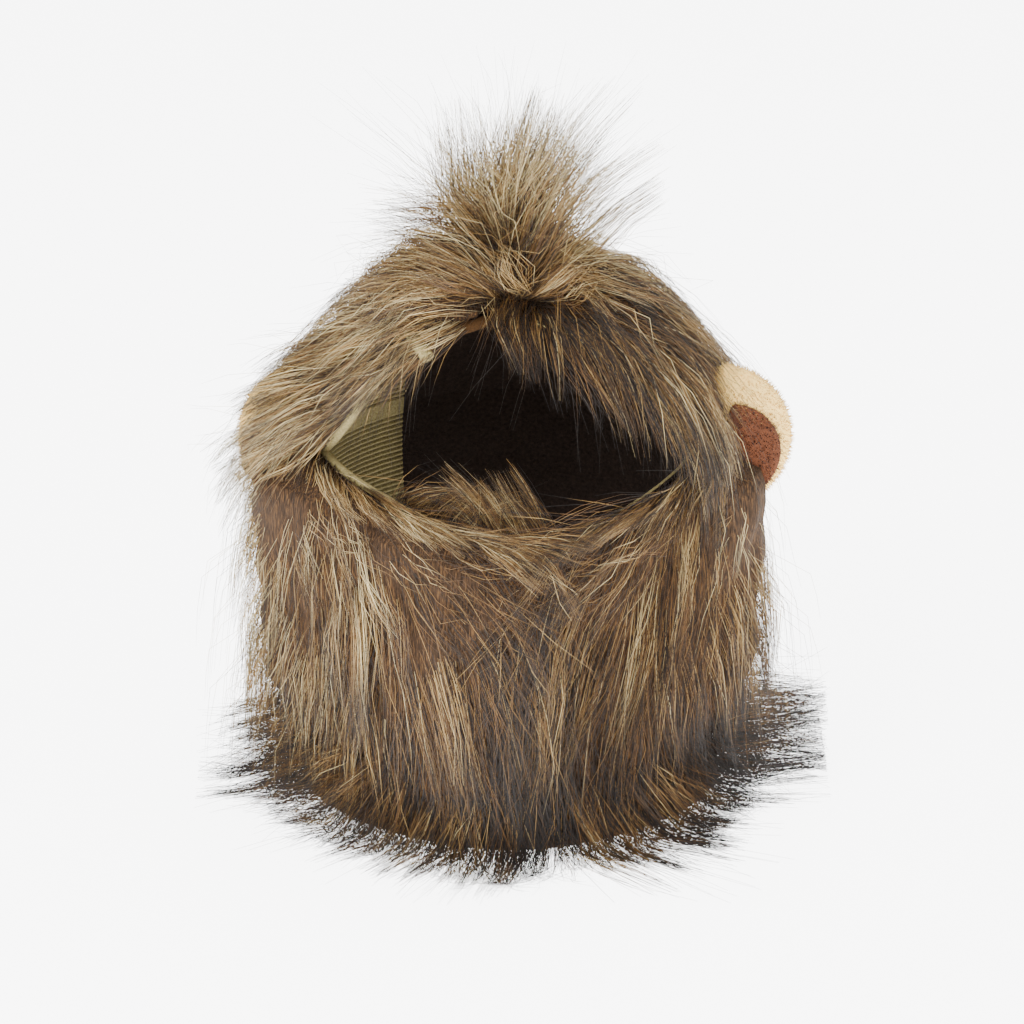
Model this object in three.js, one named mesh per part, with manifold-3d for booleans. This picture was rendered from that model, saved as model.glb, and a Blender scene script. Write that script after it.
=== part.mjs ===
// Lion mane wig for a cat or a small dog: a lined hood of long faux fur, open at the face and at the neck, with
// two plush ears on its sides, a tuft on its crown, and two front flaps that close under the chin.
// It stands on its neck hem, as it does when no pet wears it.
// Millimetres, +Z up. The face opening looks along -Y. Left and right are as seen from in front: -X and +X.

import * as THREE from "three";
import { mergeVertices } from "three/addons/utils/BufferGeometryUtils.js";
import Module from "manifold-3d";

const wasm = await Module();
wasm.setup();

// Hood, measured at the lining's inner face
const HOOD_HEIGHT = 184;
const HOOD_HALF_WIDTH = 64;
const HOOD_HALF_DEPTH = 56;
const SIDE_POWER = 1.75; // 2 is an ellipse, and less draws the sides to a fold
// Cross-sections from the hem to the crown, as shares of the three sizes above
const HOOD_SECTIONS = [
  { height: 0.0, width: 0.95, depth: 0.98 },
  { height: 0.2, width: 0.94, depth: 0.94 },
  { height: 0.42, width: 0.98, depth: 0.98 },
  { height: 0.6, width: 1.0, depth: 1.0 },
  { height: 0.74, width: 0.93, depth: 0.95 },
  { height: 0.86, width: 0.72, depth: 0.76 },
  { height: 0.95, width: 0.42, depth: 0.46 },
  { height: 1.0, width: 0.0, depth: 0.0 },
];
const HOOD_COLUMNS = 28;
const HOOD_ROWS = 9;

// Fabric layers
const FABRIC = 1.8; // knitted backing and lining
const LAYER_GAP = 0.4; // between one layer and the next
const SEAM_GAP = 0.6; // between two pieces that are sewn edge to edge
const PILE_GAP = 0.35; // between the fur of two pieces
const FUR_LIFT = LAYER_GAP + FABRIC; // inner face of the fur fabric

// Face opening
const OPENING_HALF_WIDTH = 61;
const CORNER_HEIGHT = 122; // also the seam between the hood and the flaps
const OPENING_TOP = 176;
const LIP_HEIGHT = 104; // lowest point of the opening, where the flaps cross
const LIP_SIDE = 8; // how far that point lies to the right
// Upper edge of the opening, as shares of its half width and of its height above the corners
const OPENING_UPPER_EDGE = [
  { side: -0.7, height: 0.56 },
  { side: -0.34, height: 0.86 },
  { side: 0.0, height: 1.0 },
  { side: 0.34, height: 0.86 },
  { side: 0.7, height: 0.56 },
];
const FACING_WIDTH = 30; // ribbed strip inside the opening
const FACING_THICKNESS = 1.2;

// Front flaps, in degrees round the hood from the front
const FLAP_BACK_EDGE = 98;
const LEFT_FLAP_END = 16; // past the middle, over the right flap
const RIGHT_FLAP_END = -13; // past the middle, under the left flap
const FLAP_RISE_START = -42; // where the left flap starts to rise over the right one
const NECK_SEAM = 13; // height of the flaps' lower edge
const FASTENER_THICKNESS = 1.5;
const FASTENER_GAP = 0.7; // to each flap, more than the facets' sag
const FASTENER_WIDTH = 18;
const FASTENER_BOTTOM = 58;
const FASTENER_TOP = 88;

// Fur
const LOCK_LENGTH = 60;
const LOCK_WIDTH = 27;
const LOCK_THICKNESS = 10;
const HOOD_PILE = 21; // how far the fur stands off its backing on the hood
const NECK_PILE = 16; // and below it
const SIDE_SPLAY = 1.5; // how much further the neck's fur stands off at the sides, as a share of its pile
const LOCK_PITCH = 24.5;
const FLOOR_CLEARANCE = 1.2; // of the fur that hangs down to the floor

// Crest, the strip with the tuft that runs over the crown
const CREST_HALF_WIDTH = 9;
const TUFT_LENGTH = 58;
const TUFT_HALF_LENGTH = 22; // of the pad on the crown that it grows from

// Ruff, the flared strip that the wig stands on
const RUFF_FOOT = 13; // how far its foot reaches out
const RUFF_FUR = 34; // how far its fur reaches past its seam
const RUFF_FUR_HEIGHT = 30; // of the fur where it leaves the hood

// Ears
const EAR_HEIGHT = 52;
const EAR_REACH = 25;
const EAR_THICKNESS = 10;
const EAR_LEVEL = 124; // height of the ear's middle
const EAR_FORWARD = 5;
const EAR_TURN = 12; // degrees that each ear's face turns outwards
const EAR_PATCH_THICKNESS = 1.6;
const EAR_PATCH_GAP = 0.3;

const SLIGHT = 0.1; // facets that stand out less than this are dropped

const UP = new THREE.Vector3(0, 0, 1);
const DEGREE = Math.PI / 180;

// A number between -0.5 and 0.5 that differs from lock to lock and is the same in every build
function jitter(index, kind) {
  const wave = Math.sin(index * 12.9898 + kind * 78.233) * 43758.5453;
  return wave - Math.floor(wave) - 0.5;
}

// Solids and meshes

function solidOf(geometry) {
  const plain = geometry.clone();
  plain.deleteAttribute("normal");
  plain.deleteAttribute("uv");
  const merged = mergeVertices(plain, 1e-4);
  const make = (triVerts) =>
    new wasm.Manifold(
      new wasm.Mesh({ numProp: 3, vertProperties: merged.attributes.position.array, triVerts }),
    );
  const solid = make(new Uint32Array(merged.index.array));
  return solid.volume() < 0 ? make(new Uint32Array(merged.index.array).reverse()) : solid;
}

function gridGeometry(points, faces) {
  const geometry = new THREE.BufferGeometry().setFromPoints(points);
  geometry.setIndex(faces.flat());
  return geometry;
}

// The largest body of a solid, so that a cut leaves no loose scrap
function largestBody(solid) {
  return solid.decompose().sort((a, b) => b.volume() - a.volume())[0];
}

function cutBy(solid, cutters) {
  return largestBody(cutters.reduce((rest, cutter) => rest.subtract(cutter), solid));
}

function joined(solids) {
  return solids.reduce((sum, solid) => sum.add(solid));
}

function box(low, high) {
  const size = new THREE.Vector3().subVectors(high, low);
  const middle = new THREE.Vector3().addVectors(low, high).multiplyScalar(0.5);
  const geometry = new THREE.BoxGeometry(size.x, size.y, size.z);
  return solidOf(geometry.translate(middle.x, middle.y, middle.z));
}

function meshOf(name, solid, material) {
  const { numProp, vertProperties, triVerts } = solid.getMesh();
  const positions = [];
  for (let i = 0; i < vertProperties.length; i += numProp) {
    positions.push(vertProperties[i], vertProperties[i + 1], vertProperties[i + 2]);
  }
  const geometry = new THREE.BufferGeometry();
  geometry.setAttribute("position", new THREE.Float32BufferAttribute(positions, 3));
  geometry.setIndex(Array.from(triVerts));
  geometry.computeVertexNormals();
  const mesh = new THREE.Mesh(geometry, material);
  mesh.name = name;
  return mesh;
}

// The hood's form

// A line up the hood, whose length is the mean of its front and its side
const meridian = new THREE.CatmullRomCurve3(
  HOOD_SECTIONS.map(
    (row) =>
      new THREE.Vector3(
        row.width * HOOD_HALF_WIDTH * Math.SQRT1_2,
        row.depth * HOOD_HALF_DEPTH * Math.SQRT1_2,
        row.height * HOOD_HEIGHT,
      ),
  ),
  false,
  "centripetal",
);
const MERIDIAN_LENGTH = meridian.getLength();

// The meridian's share, from 0 at the hem to 1 at the crown, that lies at a height
function shareAt(height) {
  let [low, high] = [0, 1];
  for (let step = 0; step < 24; step++) {
    const middle = (low + high) / 2;
    if (meridian.getPointAt(middle).z < height) low = middle;
    else high = middle;
  }
  return (low + high) / 2;
}

function sectionAt(share) {
  const point = meridian.getPointAt(THREE.MathUtils.clamp(share, 0, 1));
  return { halfWidth: point.x * Math.SQRT2, halfDepth: point.y * Math.SQRT2, height: point.z };
}

function rounded(value) {
  return Math.sign(value) * Math.abs(value) ** (2 / SIDE_POWER);
}

function innerFace(azimuth, share) {
  const { halfWidth, halfDepth, height } = sectionAt(share);
  return new THREE.Vector3(
    halfWidth * rounded(Math.sin(azimuth)),
    -halfDepth * rounded(Math.cos(azimuth)),
    height,
  );
}

function outward(azimuth, share) {
  if (share >= 1) return UP.clone();
  const [turn, climb] = [0.02, 0.004];
  const across = innerFace(azimuth + turn, share).sub(innerFace(azimuth - turn, share));
  const lower = innerFace(azimuth, Math.max(share - climb, 0));
  const upwards = innerFace(azimuth, Math.min(share + climb, 1)).sub(lower);
  const normal = across.cross(upwards).normalize();
  if (share <= 0) normal.setZ(0).normalize(); // the hem stays flat
  return normal;
}

function hoodPoint(azimuth, share, lift) {
  return innerFace(azimuth, share).addScaledVector(outward(azimuth, share), lift);
}

// The azimuth, on the right, at which the hood is as wide as side at a height
function azimuthAt(side, height) {
  const { halfWidth } = sectionAt(shareAt(height));
  return Math.asin(Math.min(side / halfWidth, 1) ** (SIDE_POWER / 2));
}

const flat = () => 0;

// The whole hood as a wall between two lifts, open at the hem
function hoodWall(innerLift, outerLift, riseAt = flat) {
  const points = [];
  const faces = [];
  const rings = 2 * HOOD_ROWS;
  for (let ring = 0; ring < rings; ring++) {
    const inside = ring >= HOOD_ROWS;
    const row = inside ? rings - 1 - ring : ring;
    for (let column = 0; column < HOOD_COLUMNS; column++) {
      const azimuth = (column / HOOD_COLUMNS - 0.5) * 2 * Math.PI;
      const lift = (inside ? innerLift : outerLift) + riseAt(azimuth);
      points.push(hoodPoint(azimuth, row / HOOD_ROWS, lift));
    }
  }
  const at = (ring, column) => ring * HOOD_COLUMNS + (column % HOOD_COLUMNS);
  const outerCrown = points.push(hoodPoint(0, 1, outerLift)) - 1;
  const innerCrown = points.push(hoodPoint(0, 1, innerLift)) - 1;
  for (let column = 0; column < HOOD_COLUMNS; column++) {
    for (let ring = 0; ring < rings; ring++) {
      const next = (ring + 1) % rings; // the last ring, at the hem inside, meets the first
      if (ring === HOOD_ROWS - 1) {
        faces.push([at(ring, column), at(ring, column + 1), outerCrown]);
        faces.push([at(next, column + 1), at(next, column), innerCrown]);
      } else {
        faces.push([at(ring, column), at(ring, column + 1), at(next, column)]);
        faces.push([at(ring, column + 1), at(next, column + 1), at(next, column)]);
      }
    }
  }
  return solidOf(gridGeometry(points, faces));
}

// The hood as a filled dome at a lift, to cut pieces clear of the layers inside it
function hoodDome(lift) {
  const points = [];
  const faces = [];
  for (let row = 0; row < HOOD_ROWS; row++) {
    for (let column = 0; column < HOOD_COLUMNS; column++) {
      points.push(hoodPoint((column / HOOD_COLUMNS - 0.5) * 2 * Math.PI, row / HOOD_ROWS, lift));
    }
  }
  const at = (row, column) => row * HOOD_COLUMNS + (column % HOOD_COLUMNS);
  const floor = points.push(new THREE.Vector3(0, 0, 0)) - 1;
  const crown = points.push(hoodPoint(0, 1, lift)) - 1;
  for (let column = 0; column < HOOD_COLUMNS; column++) {
    faces.push([at(0, column + 1), at(0, column), floor]);
    for (let row = 0; row < HOOD_ROWS - 1; row++) {
      faces.push([at(row, column), at(row, column + 1), at(row + 1, column)]);
      faces.push([at(row, column + 1), at(row + 1, column + 1), at(row + 1, column)]);
    }
    faces.push([at(HOOD_ROWS - 1, column), at(HOOD_ROWS - 1, column + 1), crown]);
  }
  return solidOf(gridGeometry(points, faces));
}

// A closed strip round the hood: place(azimuth, along) gives its two faces at each row and column
function strip({ from, to, columns, rows, place }) {
  const points = [];
  const faces = [];
  const around = 2 * (rows + 1); // up the outer face and down the inner one
  for (let column = 0; column <= columns; column++) {
    const azimuth = from + ((to - from) * column) / columns;
    for (let row = 0; row <= rows; row++) points.push(place(azimuth, row / rows).outer);
    for (let row = rows; row >= 0; row--) points.push(place(azimuth, row / rows).inner);
  }
  const at = (column, step) => column * around + (step % around);
  for (let step = 0; step < around; step++) {
    for (let column = 0; column < columns; column++) {
      faces.push([at(column, step), at(column + 1, step), at(column + 1, step + 1)]);
      faces.push([at(column, step), at(column + 1, step + 1), at(column, step + 1)]);
    }
  }
  for (let row = 0; row < rows; row++) {
    const [low, high, inner, innerLow] = [row, row + 1, around - 2 - row, around - 1 - row];
    for (const [column, turned] of [[0, false], [columns, true]]) {
      const corners = [low, high, inner, innerLow].map((step) => at(column, step));
      if (turned) corners.reverse();
      faces.push([corners[0], corners[1], corners[2]]);
      faces.push([corners[0], corners[2], corners[3]]);
    }
  }
  return solidOf(gridGeometry(points, faces));
}

// The space round the hood's axis between two azimuths and two heights
function sector(from, to, bottom, top) {
  const outline = new THREE.Shape();
  outline.moveTo(0, 0);
  const steps = Math.ceil((to - from) / (30 * DEGREE));
  for (let step = 0; step <= steps; step++) {
    const { x, y } = innerFace(from + ((to - from) * step) / steps, shareAt(CORNER_HEIGHT));
    outline.lineTo(4 * x, 4 * y);
  }
  outline.closePath();
  const geometry = new THREE.ExtrudeGeometry(outline, { depth: top - bottom, bevelEnabled: false });
  return solidOf(geometry.translate(0, 0, bottom));
}

// The face opening as a solid through the front, widened all round by grow
function faceOpening(grow) {
  const halfWidth = OPENING_HALF_WIDTH + grow;
  const rise = OPENING_TOP - CORNER_HEIGHT + grow;
  const outline = new THREE.Shape();
  outline.moveTo(-halfWidth, CORNER_HEIGHT);
  outline.splineThru([
    ...OPENING_UPPER_EDGE.map(
      (row) => new THREE.Vector2(row.side * halfWidth, CORNER_HEIGHT + row.height * rise),
    ),
    new THREE.Vector2(halfWidth, CORNER_HEIGHT),
  ]);
  outline.lineTo(LIP_SIDE, LIP_HEIGHT - grow);
  outline.closePath();
  const behind = OPENING_HALF_WIDTH * 0.08; // it stops short of the hood's sides
  const depth = 3 * HOOD_HALF_DEPTH;
  const geometry = new THREE.ExtrudeGeometry(outline, { depth, bevelEnabled: false, curveSegments: 2 });
  return solidOf(geometry.rotateX(Math.PI / 2).translate(0, -behind, 0));
}

// Height of the opening's upper edge at a share of its half width
function openingTopAt(side) {
  const rows = [...OPENING_UPPER_EDGE, { side: 1, height: 0 }];
  const next = rows.findIndex((row) => row.side > side);
  const [a, b] = [rows[next - 1], rows[next]];
  const share = THREE.MathUtils.mapLinear(side, a.side, b.side, a.height, b.height);
  return CORNER_HEIGHT + share * (OPENING_TOP - CORNER_HEIGHT);
}

// Height of the opening's lower edge at an azimuth
function openingFloorAt(azimuth) {
  const { x } = innerFace(azimuth, shareAt(CORNER_HEIGHT));
  const corner = Math.sign(x - LIP_SIDE) * OPENING_HALF_WIDTH;
  const share = THREE.MathUtils.clamp((x - LIP_SIDE) / (corner - LIP_SIDE), 0, 1);
  return THREE.MathUtils.lerp(LIP_HEIGHT, CORNER_HEIGHT, share);
}

// Half the opening's width at a height above its corners
function openingHalfWidthAt(height) {
  const share = (height - CORNER_HEIGHT) / (OPENING_TOP - CORNER_HEIGHT);
  if (share >= 1) return CREST_HALF_WIDTH;
  const rows = [{ side: 1, height: 0 }, ...OPENING_UPPER_EDGE.slice().reverse().slice(0, 3)];
  const upper = Math.max(rows.findIndex((row) => row.height > share), 1);
  const [a, b] = [rows[upper - 1], rows[upper]];
  const side = THREE.MathUtils.mapLinear(share, a.height, b.height, a.side, b.side);
  return Math.max(side * OPENING_HALF_WIDTH, CREST_HALF_WIDTH);
}

// Locks of fur

// A tapered lock: each station has a centre on its underside, a side and an up direction, and the shares of the
// width and of the thickness that it has there
function blade(stations, width, thickness, grow) {
  const points = [];
  const faces = [];
  const last = stations.length - 1;
  const behind = new THREE.Vector3().subVectors(stations[0].centre, stations[1].centre).setLength(grow);
  stations.slice(0, last).forEach(({ centre, side, up, wide, thick }, i) => {
    const slope = Math.atan2(thickness * thick, (width * wide) / 2);
    const half = (width * wide) / 2 + grow / Math.tan(slope / 2);
    const middle = i === 0 ? centre.clone().add(behind) : centre.clone();
    const under = middle.clone().addScaledVector(up, -grow);
    points.push(under.clone().addScaledVector(side, -half));
    points.push(under.clone().addScaledVector(side, half));
    points.push(middle.addScaledVector(up, thickness * thick + grow / Math.cos(slope)));
  });
  const tip = stations[last];
  const onward = new THREE.Vector3().subVectors(tip.centre, stations[last - 1].centre).normalize();
  const tipPoint = points.push(tip.centre.clone().addScaledVector(onward, 2 * grow)) - 1;
  faces.push([0, 2, 1]);
  for (let ring = 0; ring < last - 1; ring++) {
    for (let corner = 0; corner < 3; corner++) {
      const [a, b] = [3 * ring + corner, 3 * ring + ((corner + 1) % 3)];
      faces.push([a, b, b + 3]);
      faces.push([a, b + 3, a + 3]);
    }
  }
  for (let corner = 0; corner < 3; corner++) {
    const ring = 3 * (last - 1);
    faces.push([ring + corner, ring + ((corner + 1) % 3), tipPoint]);
  }
  return solidOf(gridGeometry(points, faces));
}

// Stations of a laid lock, as shares of its length, width and thickness and of the pile's depth
const LAID_STATIONS = [
  { along: 0.0, wide: 0.7, thick: 0.2, lift: 0.0 },
  { along: 0.5, wide: 1.0, thick: 1.0, lift: 0.5 },
  { along: 1.0, wide: 0.0, thick: 0.0, lift: 1.0 },
];

// A lock that lies along the hood: reach is its way down and sweep its way round, towards a growing azimuth
function laidLock({
  azimuth,
  height,
  reach,
  sweep,
  pile,
  size = 1, // share of the usual width and thickness
  rise = 0, // of its backing off the hood
  bulk = 1, // share of the usual height of its middle
  splay = 1, // share of the pile's depth that its tip stands off
  index = 0,
  grow = 0,
}) {
  const start = shareAt(height);
  const onHood = (along) => {
    const share = start - (reach * along) / MERIDIAN_LENGTH;
    const { halfWidth, halfDepth } = sectionAt(share);
    const turned = azimuth + (sweep * along) / ((halfWidth + halfDepth) / 2 + pile);
    return { share: Math.max(share, 0), turned, overrun: Math.max(-share, 0) * MERIDIAN_LENGTH };
  };
  const depth = pile - (LOCK_THICKNESS * size) / 2;
  const centres = LAID_STATIONS.map(({ along, lift }) => {
    const { share, turned, overrun } = onHood(along);
    const off = FUR_LIFT + rise + depth * lift * (lift < 1 ? bulk : splay) + overrun;
    const point = hoodPoint(turned, share, off); // fur past the hem splays over the floor
    point.z = Math.max(point.z, FLOOR_CLEARANCE);
    return point;
  });
  const last = LAID_STATIONS.length - 1;
  const stations = LAID_STATIONS.map(({ along, wide, thick }, i) => {
    const { share, turned } = onHood(along);
    const up = outward(turned, share);
    const ahead = centres[Math.min(i + 1, last)].clone().sub(centres[Math.max(i - 1, 0)]);
    const side = new THREE.Vector3().crossVectors(ahead, up).normalize();
    return { centre: centres[i], side, up, wide, thick };
  });
  const width = LOCK_WIDTH * size * (1 + 0.25 * jitter(index, 5));
  return blade(stations, width, LOCK_THICKNESS * size, grow);
}

// A row of laid locks between two azimuths, at about LOCK_PITCH
function lockRow({ heightAt, from, to, reachAt, sweepAt, riseAt = flat, splayAt, seed, ...rest }) {
  const { halfWidth, halfDepth } = sectionAt(shareAt(heightAt((from + to) / 2)));
  const length = Math.abs(to - from) * ((halfWidth + halfDepth) / 2 + FUR_LIFT);
  const count = Math.max(Math.round(length / LOCK_PITCH), 1);
  return Array.from({ length: count }, (_, i) => {
    const index = seed * 50 + i;
    const azimuth = from + ((to - from) * (i + 0.5 + 0.3 * jitter(index, 1))) / count;
    if (reachAt(azimuth) < SHORTEST_LOCK) return null;
    return laidLock({
      ...rest,
      azimuth,
      height: heightAt(azimuth) + 0.2 * LOCK_PITCH * jitter(index, 2),
      reach: reachAt(azimuth) * LOCK_LENGTH * (1 + 0.25 * jitter(index, 3)),
      sweep: sweepAt(azimuth) + 0.15 * LOCK_LENGTH * jitter(index, 4),
      rise: riseAt(azimuth),
      splay: splayAt(azimuth),
      index,
    });
  }).filter(Boolean);
}

// Outer fabric wall of the hood, and the parts of it that the panels take

function furWall(grow) {
  return hoodWall(FUR_LIFT - grow, FUR_LIFT + FABRIC + grow);
}

const REACH = 4 * HOOD_HEIGHT; // past everything

function hoodRegion(side, grow) {
  const inner = CREST_HALF_WIDTH + SEAM_GAP / 2 - grow;
  const bottom = CORNER_HEIGHT + SEAM_GAP / 2 - grow;
  return box(
    new THREE.Vector3(side < 0 ? -REACH : inner, -REACH, bottom),
    new THREE.Vector3(side < 0 ? -inner : REACH, REACH, REACH),
  );
}

// Rows of the hood's fur: height of the roots as a share of the hood above the corners, length, and the shares
// of laidLock
const HOOD_FUR_ROWS = [
  { height: 0.14, reach: 1.0, size: 1.0, bulk: 1.0, splay: 1.25 },
  { height: 0.4, reach: 1.0, size: 1.0, bulk: 1.0, splay: 1.15 },
  { height: 0.68, reach: 0.9, size: 1.05, bulk: 1.4, splay: 1.2 },
  { height: 0.95, reach: 0.8, size: 1.05, bulk: 1.75, splay: 1.4 },
];
const LEFT_FRONT_SWEEP = 50; // the left side's fur is combed back off the face
const RIGHT_FRONT_SWEEP = 22; // the right side's falls across the temple
const SIDE_SWEEP = 5;

function hoodSide(side, grow) {
  const wall = furWall(grow).intersect(hoodRegion(side, grow)).subtract(faceOpening(-grow));
  const frontSweep = side < 0 ? LEFT_FRONT_SWEEP : RIGHT_FRONT_SWEEP;
  const locks = HOOD_FUR_ROWS.flatMap(({ height: share, reach, splay, ...shares }, i) => {
    const height = CORNER_HEIGHT + share * (HOOD_HEIGHT - CORNER_HEIGHT);
    const front = azimuthAt(openingHalfWidthAt(height) + LOCK_WIDTH / 4, height);
    const back = Math.PI - azimuthAt(CREST_HALF_WIDTH, height);
    return lockRow({
      heightAt: () => height,
      from: side * front,
      to: side * back,
      reachAt: () => reach,
      sweepAt: (azimuth) => side * (SIDE_SWEEP + frontSweep * Math.max(Math.cos(azimuth), 0)),
      splayAt: () => splay,
      pile: HOOD_PILE,
      ...shares,
      seed: (side < 0 ? 1 : 11) + i,
      grow,
    });
  });
  const temple = TEMPLE_LOCKS.filter((row) => row.side === side).map((row) => templeLock(row, grow));
  const fringe = FRINGE_LOCKS.filter((row) => row.side * side > 0).map((row) => fringeLock(row, grow));
  return joined([wall, ...locks, ...temple, ...fringe]);
}

// Locks at the opening's edge that stand off in front of the ears: height of the root as a share of the
// opening's, and length, way back and pile in shares of LOCK_LENGTH, LOCK_LENGTH and HOOD_PILE
const TEMPLE_LOCKS = [
  { side: -1, height: 0.86, reach: 0.5, sweep: 0.6, pile: 1.5 },
  { side: 1, height: 0.86, reach: 0.55, sweep: 0.5, pile: 1.4 },
  { side: -1, height: 0.72, reach: 0.7, sweep: 0.7, pile: 1.35 },
  { side: -1, height: 0.48, reach: 0.68, sweep: 0.55, pile: 1.45 },
  { side: -1, height: 0.22, reach: 0.66, sweep: 0.3, pile: 1.3 },
  { side: 1, height: 0.6, reach: 0.8, sweep: 0.35, pile: 1.15 },
  { side: 1, height: 0.28, reach: 0.85, sweep: 0.12, pile: 1.05 },
];

function templeLock({ side, height, reach, sweep, pile }, grow) {
  const root = THREE.MathUtils.lerp(CORNER_HEIGHT, OPENING_TOP, height);
  return laidLock({
    azimuth: side * azimuthAt(openingHalfWidthAt(root) + LOCK_WIDTH / 3, root),
    height: root,
    reach: reach * LOCK_LENGTH,
    sweep: side * sweep * LOCK_LENGTH,
    pile: pile * HOOD_PILE,
    index: 200 + 10 * height,
    grow,
  });
}

// The fringe that hangs over the opening's upper edge: place of each root to the right along the edge, as a share
// of the opening's half width, length, and way to the right, in shares of LOCK_LENGTH
const FRINGE_LOCKS = [
  { side: -0.72, reach: 0.5, sweep: -0.04 },
  { side: 0.24, reach: 0.55, sweep: 0.3 },
  { side: 0.46, reach: 0.62, sweep: 0.26 },
  { side: 0.68, reach: 0.62, sweep: 0.2 },
];

function fringeLock({ side, reach, sweep }, grow) {
  const height = openingTopAt(Math.abs(side)) + LOCK_THICKNESS / 2;
  return laidLock({
    azimuth: Math.sign(side) * azimuthAt(Math.abs(side) * OPENING_HALF_WIDTH, height),
    height,
    reach: reach * LOCK_LENGTH,
    sweep: sweep * LOCK_LENGTH,
    pile: HOOD_PILE * 0.6,
    size: 0.8,
    index: 100 * side,
    grow,
  });
}

// Tuft locks: place along the crown from front (-1) to back (1), lean to the right in degrees, tilt to the back
// in degrees, and length as a share of TUFT_LENGTH
const TUFT_LOCKS = [
  { place: -0.9, lean: -40, tilt: -30, length: 0.7 },
  { place: -0.9, lean: 4, tilt: -34, length: 0.72 },
  { place: -0.9, lean: 14, tilt: -58, length: 0.6 },
  { place: -0.9, lean: 40, tilt: -28, length: 0.68 },
  { place: -0.75, lean: -20, tilt: -12, length: 0.8 },
  { place: -0.75, lean: 22, tilt: -12, length: 0.72 },
  { place: -0.3, lean: -72, tilt: -6, length: 0.68 },
  { place: -0.3, lean: -34, tilt: -8, length: 0.9 },
  { place: -0.3, lean: 2, tilt: -8, length: 1.0 },
  { place: -0.3, lean: 22, tilt: -4, length: 0.8 },
  { place: -0.3, lean: 40, tilt: -6, length: 0.7 },
  { place: -0.3, lean: 72, tilt: -6, length: 0.72 },
  { place: 0.15, lean: -22, tilt: 8, length: 0.86 },
  { place: 0.15, lean: 16, tilt: 10, length: 0.88 },
  { place: 0.5, lean: -44, tilt: 22, length: 0.8 },
  { place: 0.5, lean: -8, tilt: 28, length: 0.9 },
  { place: 0.5, lean: 36, tilt: 24, length: 0.76 },
];
const TUFT_STATIONS = [
  { along: 0.0, wide: 0.7, thick: 0.7 },
  { along: 0.45, wide: 1.0, thick: 1.0 },
  { along: 1.0, wide: 0.0, thick: 0.0 },
];
const PAD_LIFT = FUR_LIFT + FABRIC + LAYER_GAP;
const CREST_ROWS = 3; // of laid fur, down the back

function tuftLock({ place, lean, tilt, length }, grow) {
  const azimuth = place < 0 ? 0 : Math.PI;
  const share = 1 - (Math.abs(place) * TUFT_HALF_LENGTH) / MERIDIAN_LENGTH;
  const root = hoodPoint(azimuth, share, PAD_LIFT + FABRIC / 2);
  const direction = new THREE.Vector3(
    Math.sin(lean * DEGREE),
    Math.sin(tilt * DEGREE),
    Math.cos(lean * DEGREE) * Math.cos(tilt * DEGREE),
  ).normalize();
  const side = new THREE.Vector3(0, -1, 0).cross(direction).normalize();
  const up = new THREE.Vector3().crossVectors(side, direction);
  const droop = 0.06 * TUFT_LENGTH * Math.sign(lean);
  const stations = TUFT_STATIONS.map(({ along, wide, thick }) => {
    const centre = root.clone().addScaledVector(direction, along * length * TUFT_LENGTH);
    centre.addScaledVector(side, droop * along * along);
    return { centre, side, up, wide, thick };
  });
  return blade(stations, LOCK_WIDTH * 0.7, LOCK_THICKNESS * 1.9, grow);
}

function crownTuft(grow) {
  const half = CREST_HALF_WIDTH - SEAM_GAP / 2 + grow;
  const length = TUFT_HALF_LENGTH + grow;
  const region = box(
    new THREE.Vector3(-half, -length, CORNER_HEIGHT),
    new THREE.Vector3(half, length, REACH),
  );
  const pad = hoodWall(PAD_LIFT - grow, PAD_LIFT + FABRIC + grow).intersect(region);
  return joined([pad, ...TUFT_LOCKS.map((row) => tuftLock(row, grow))]);
}

function crestStrip(grow) {
  const half = CREST_HALF_WIDTH - SEAM_GAP / 2 + grow;
  const bottom = CORNER_HEIGHT + SEAM_GAP / 2 - grow;
  const region = box(new THREE.Vector3(-half, -REACH, bottom), new THREE.Vector3(half, REACH, REACH));
  const strap = furWall(grow).intersect(region).subtract(faceOpening(-grow));
  const locks = Array.from({ length: CREST_ROWS }, (_, row) =>
    laidLock({
      azimuth: Math.PI,
      height: CORNER_HEIGHT + ((row + 0.3) / CREST_ROWS) * (HOOD_HEIGHT - CORNER_HEIGHT),
      reach: LOCK_LENGTH,
      sweep: 0.13 * LOCK_LENGTH * jitter(row, 7),
      pile: HOOD_PILE,
      index: row,
      grow,
    }),
  );
  return joined([largestBody(strap), ...locks]);
}

// Front flaps and the back of the neck

function overlapRise(azimuth) {
  const share = THREE.MathUtils.smoothstep(azimuth / DEGREE, FLAP_RISE_START, RIGHT_FLAP_END);
  return share * (FABRIC + FASTENER_THICKNESS + 2 * FASTENER_GAP);
}

function neckPanel({ from, to, riseAt = flat, grow }) {
  const edge = grow / HOOD_HALF_WIDTH;
  const space = sector(
    from - edge,
    to + edge,
    NECK_SEAM + SEAM_GAP / 2 - grow,
    CORNER_HEIGHT - SEAM_GAP / 2 + grow,
  );
  return hoodWall(FUR_LIFT - grow, FUR_LIFT + FABRIC + grow, riseAt).intersect(space);
}

// Rows of the flaps' and the neck's fur: height of the roots as a share of the neck panel, and length in front
// and elsewhere, where the ruff's fur takes over
const NECK_FUR_ROWS = [
  { height: 0.16, front: 0.85, elsewhere: 0 },
  { height: 0.42, front: 1.0, elsewhere: 0.7 },
  { height: 0.68, front: 1.0, elsewhere: 0.95 },
];
const SHORTEST_LOCK = 0.4; // share of LOCK_LENGTH
const RIM_INSET = 5; // of the roots along the opening's lower edge

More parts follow.
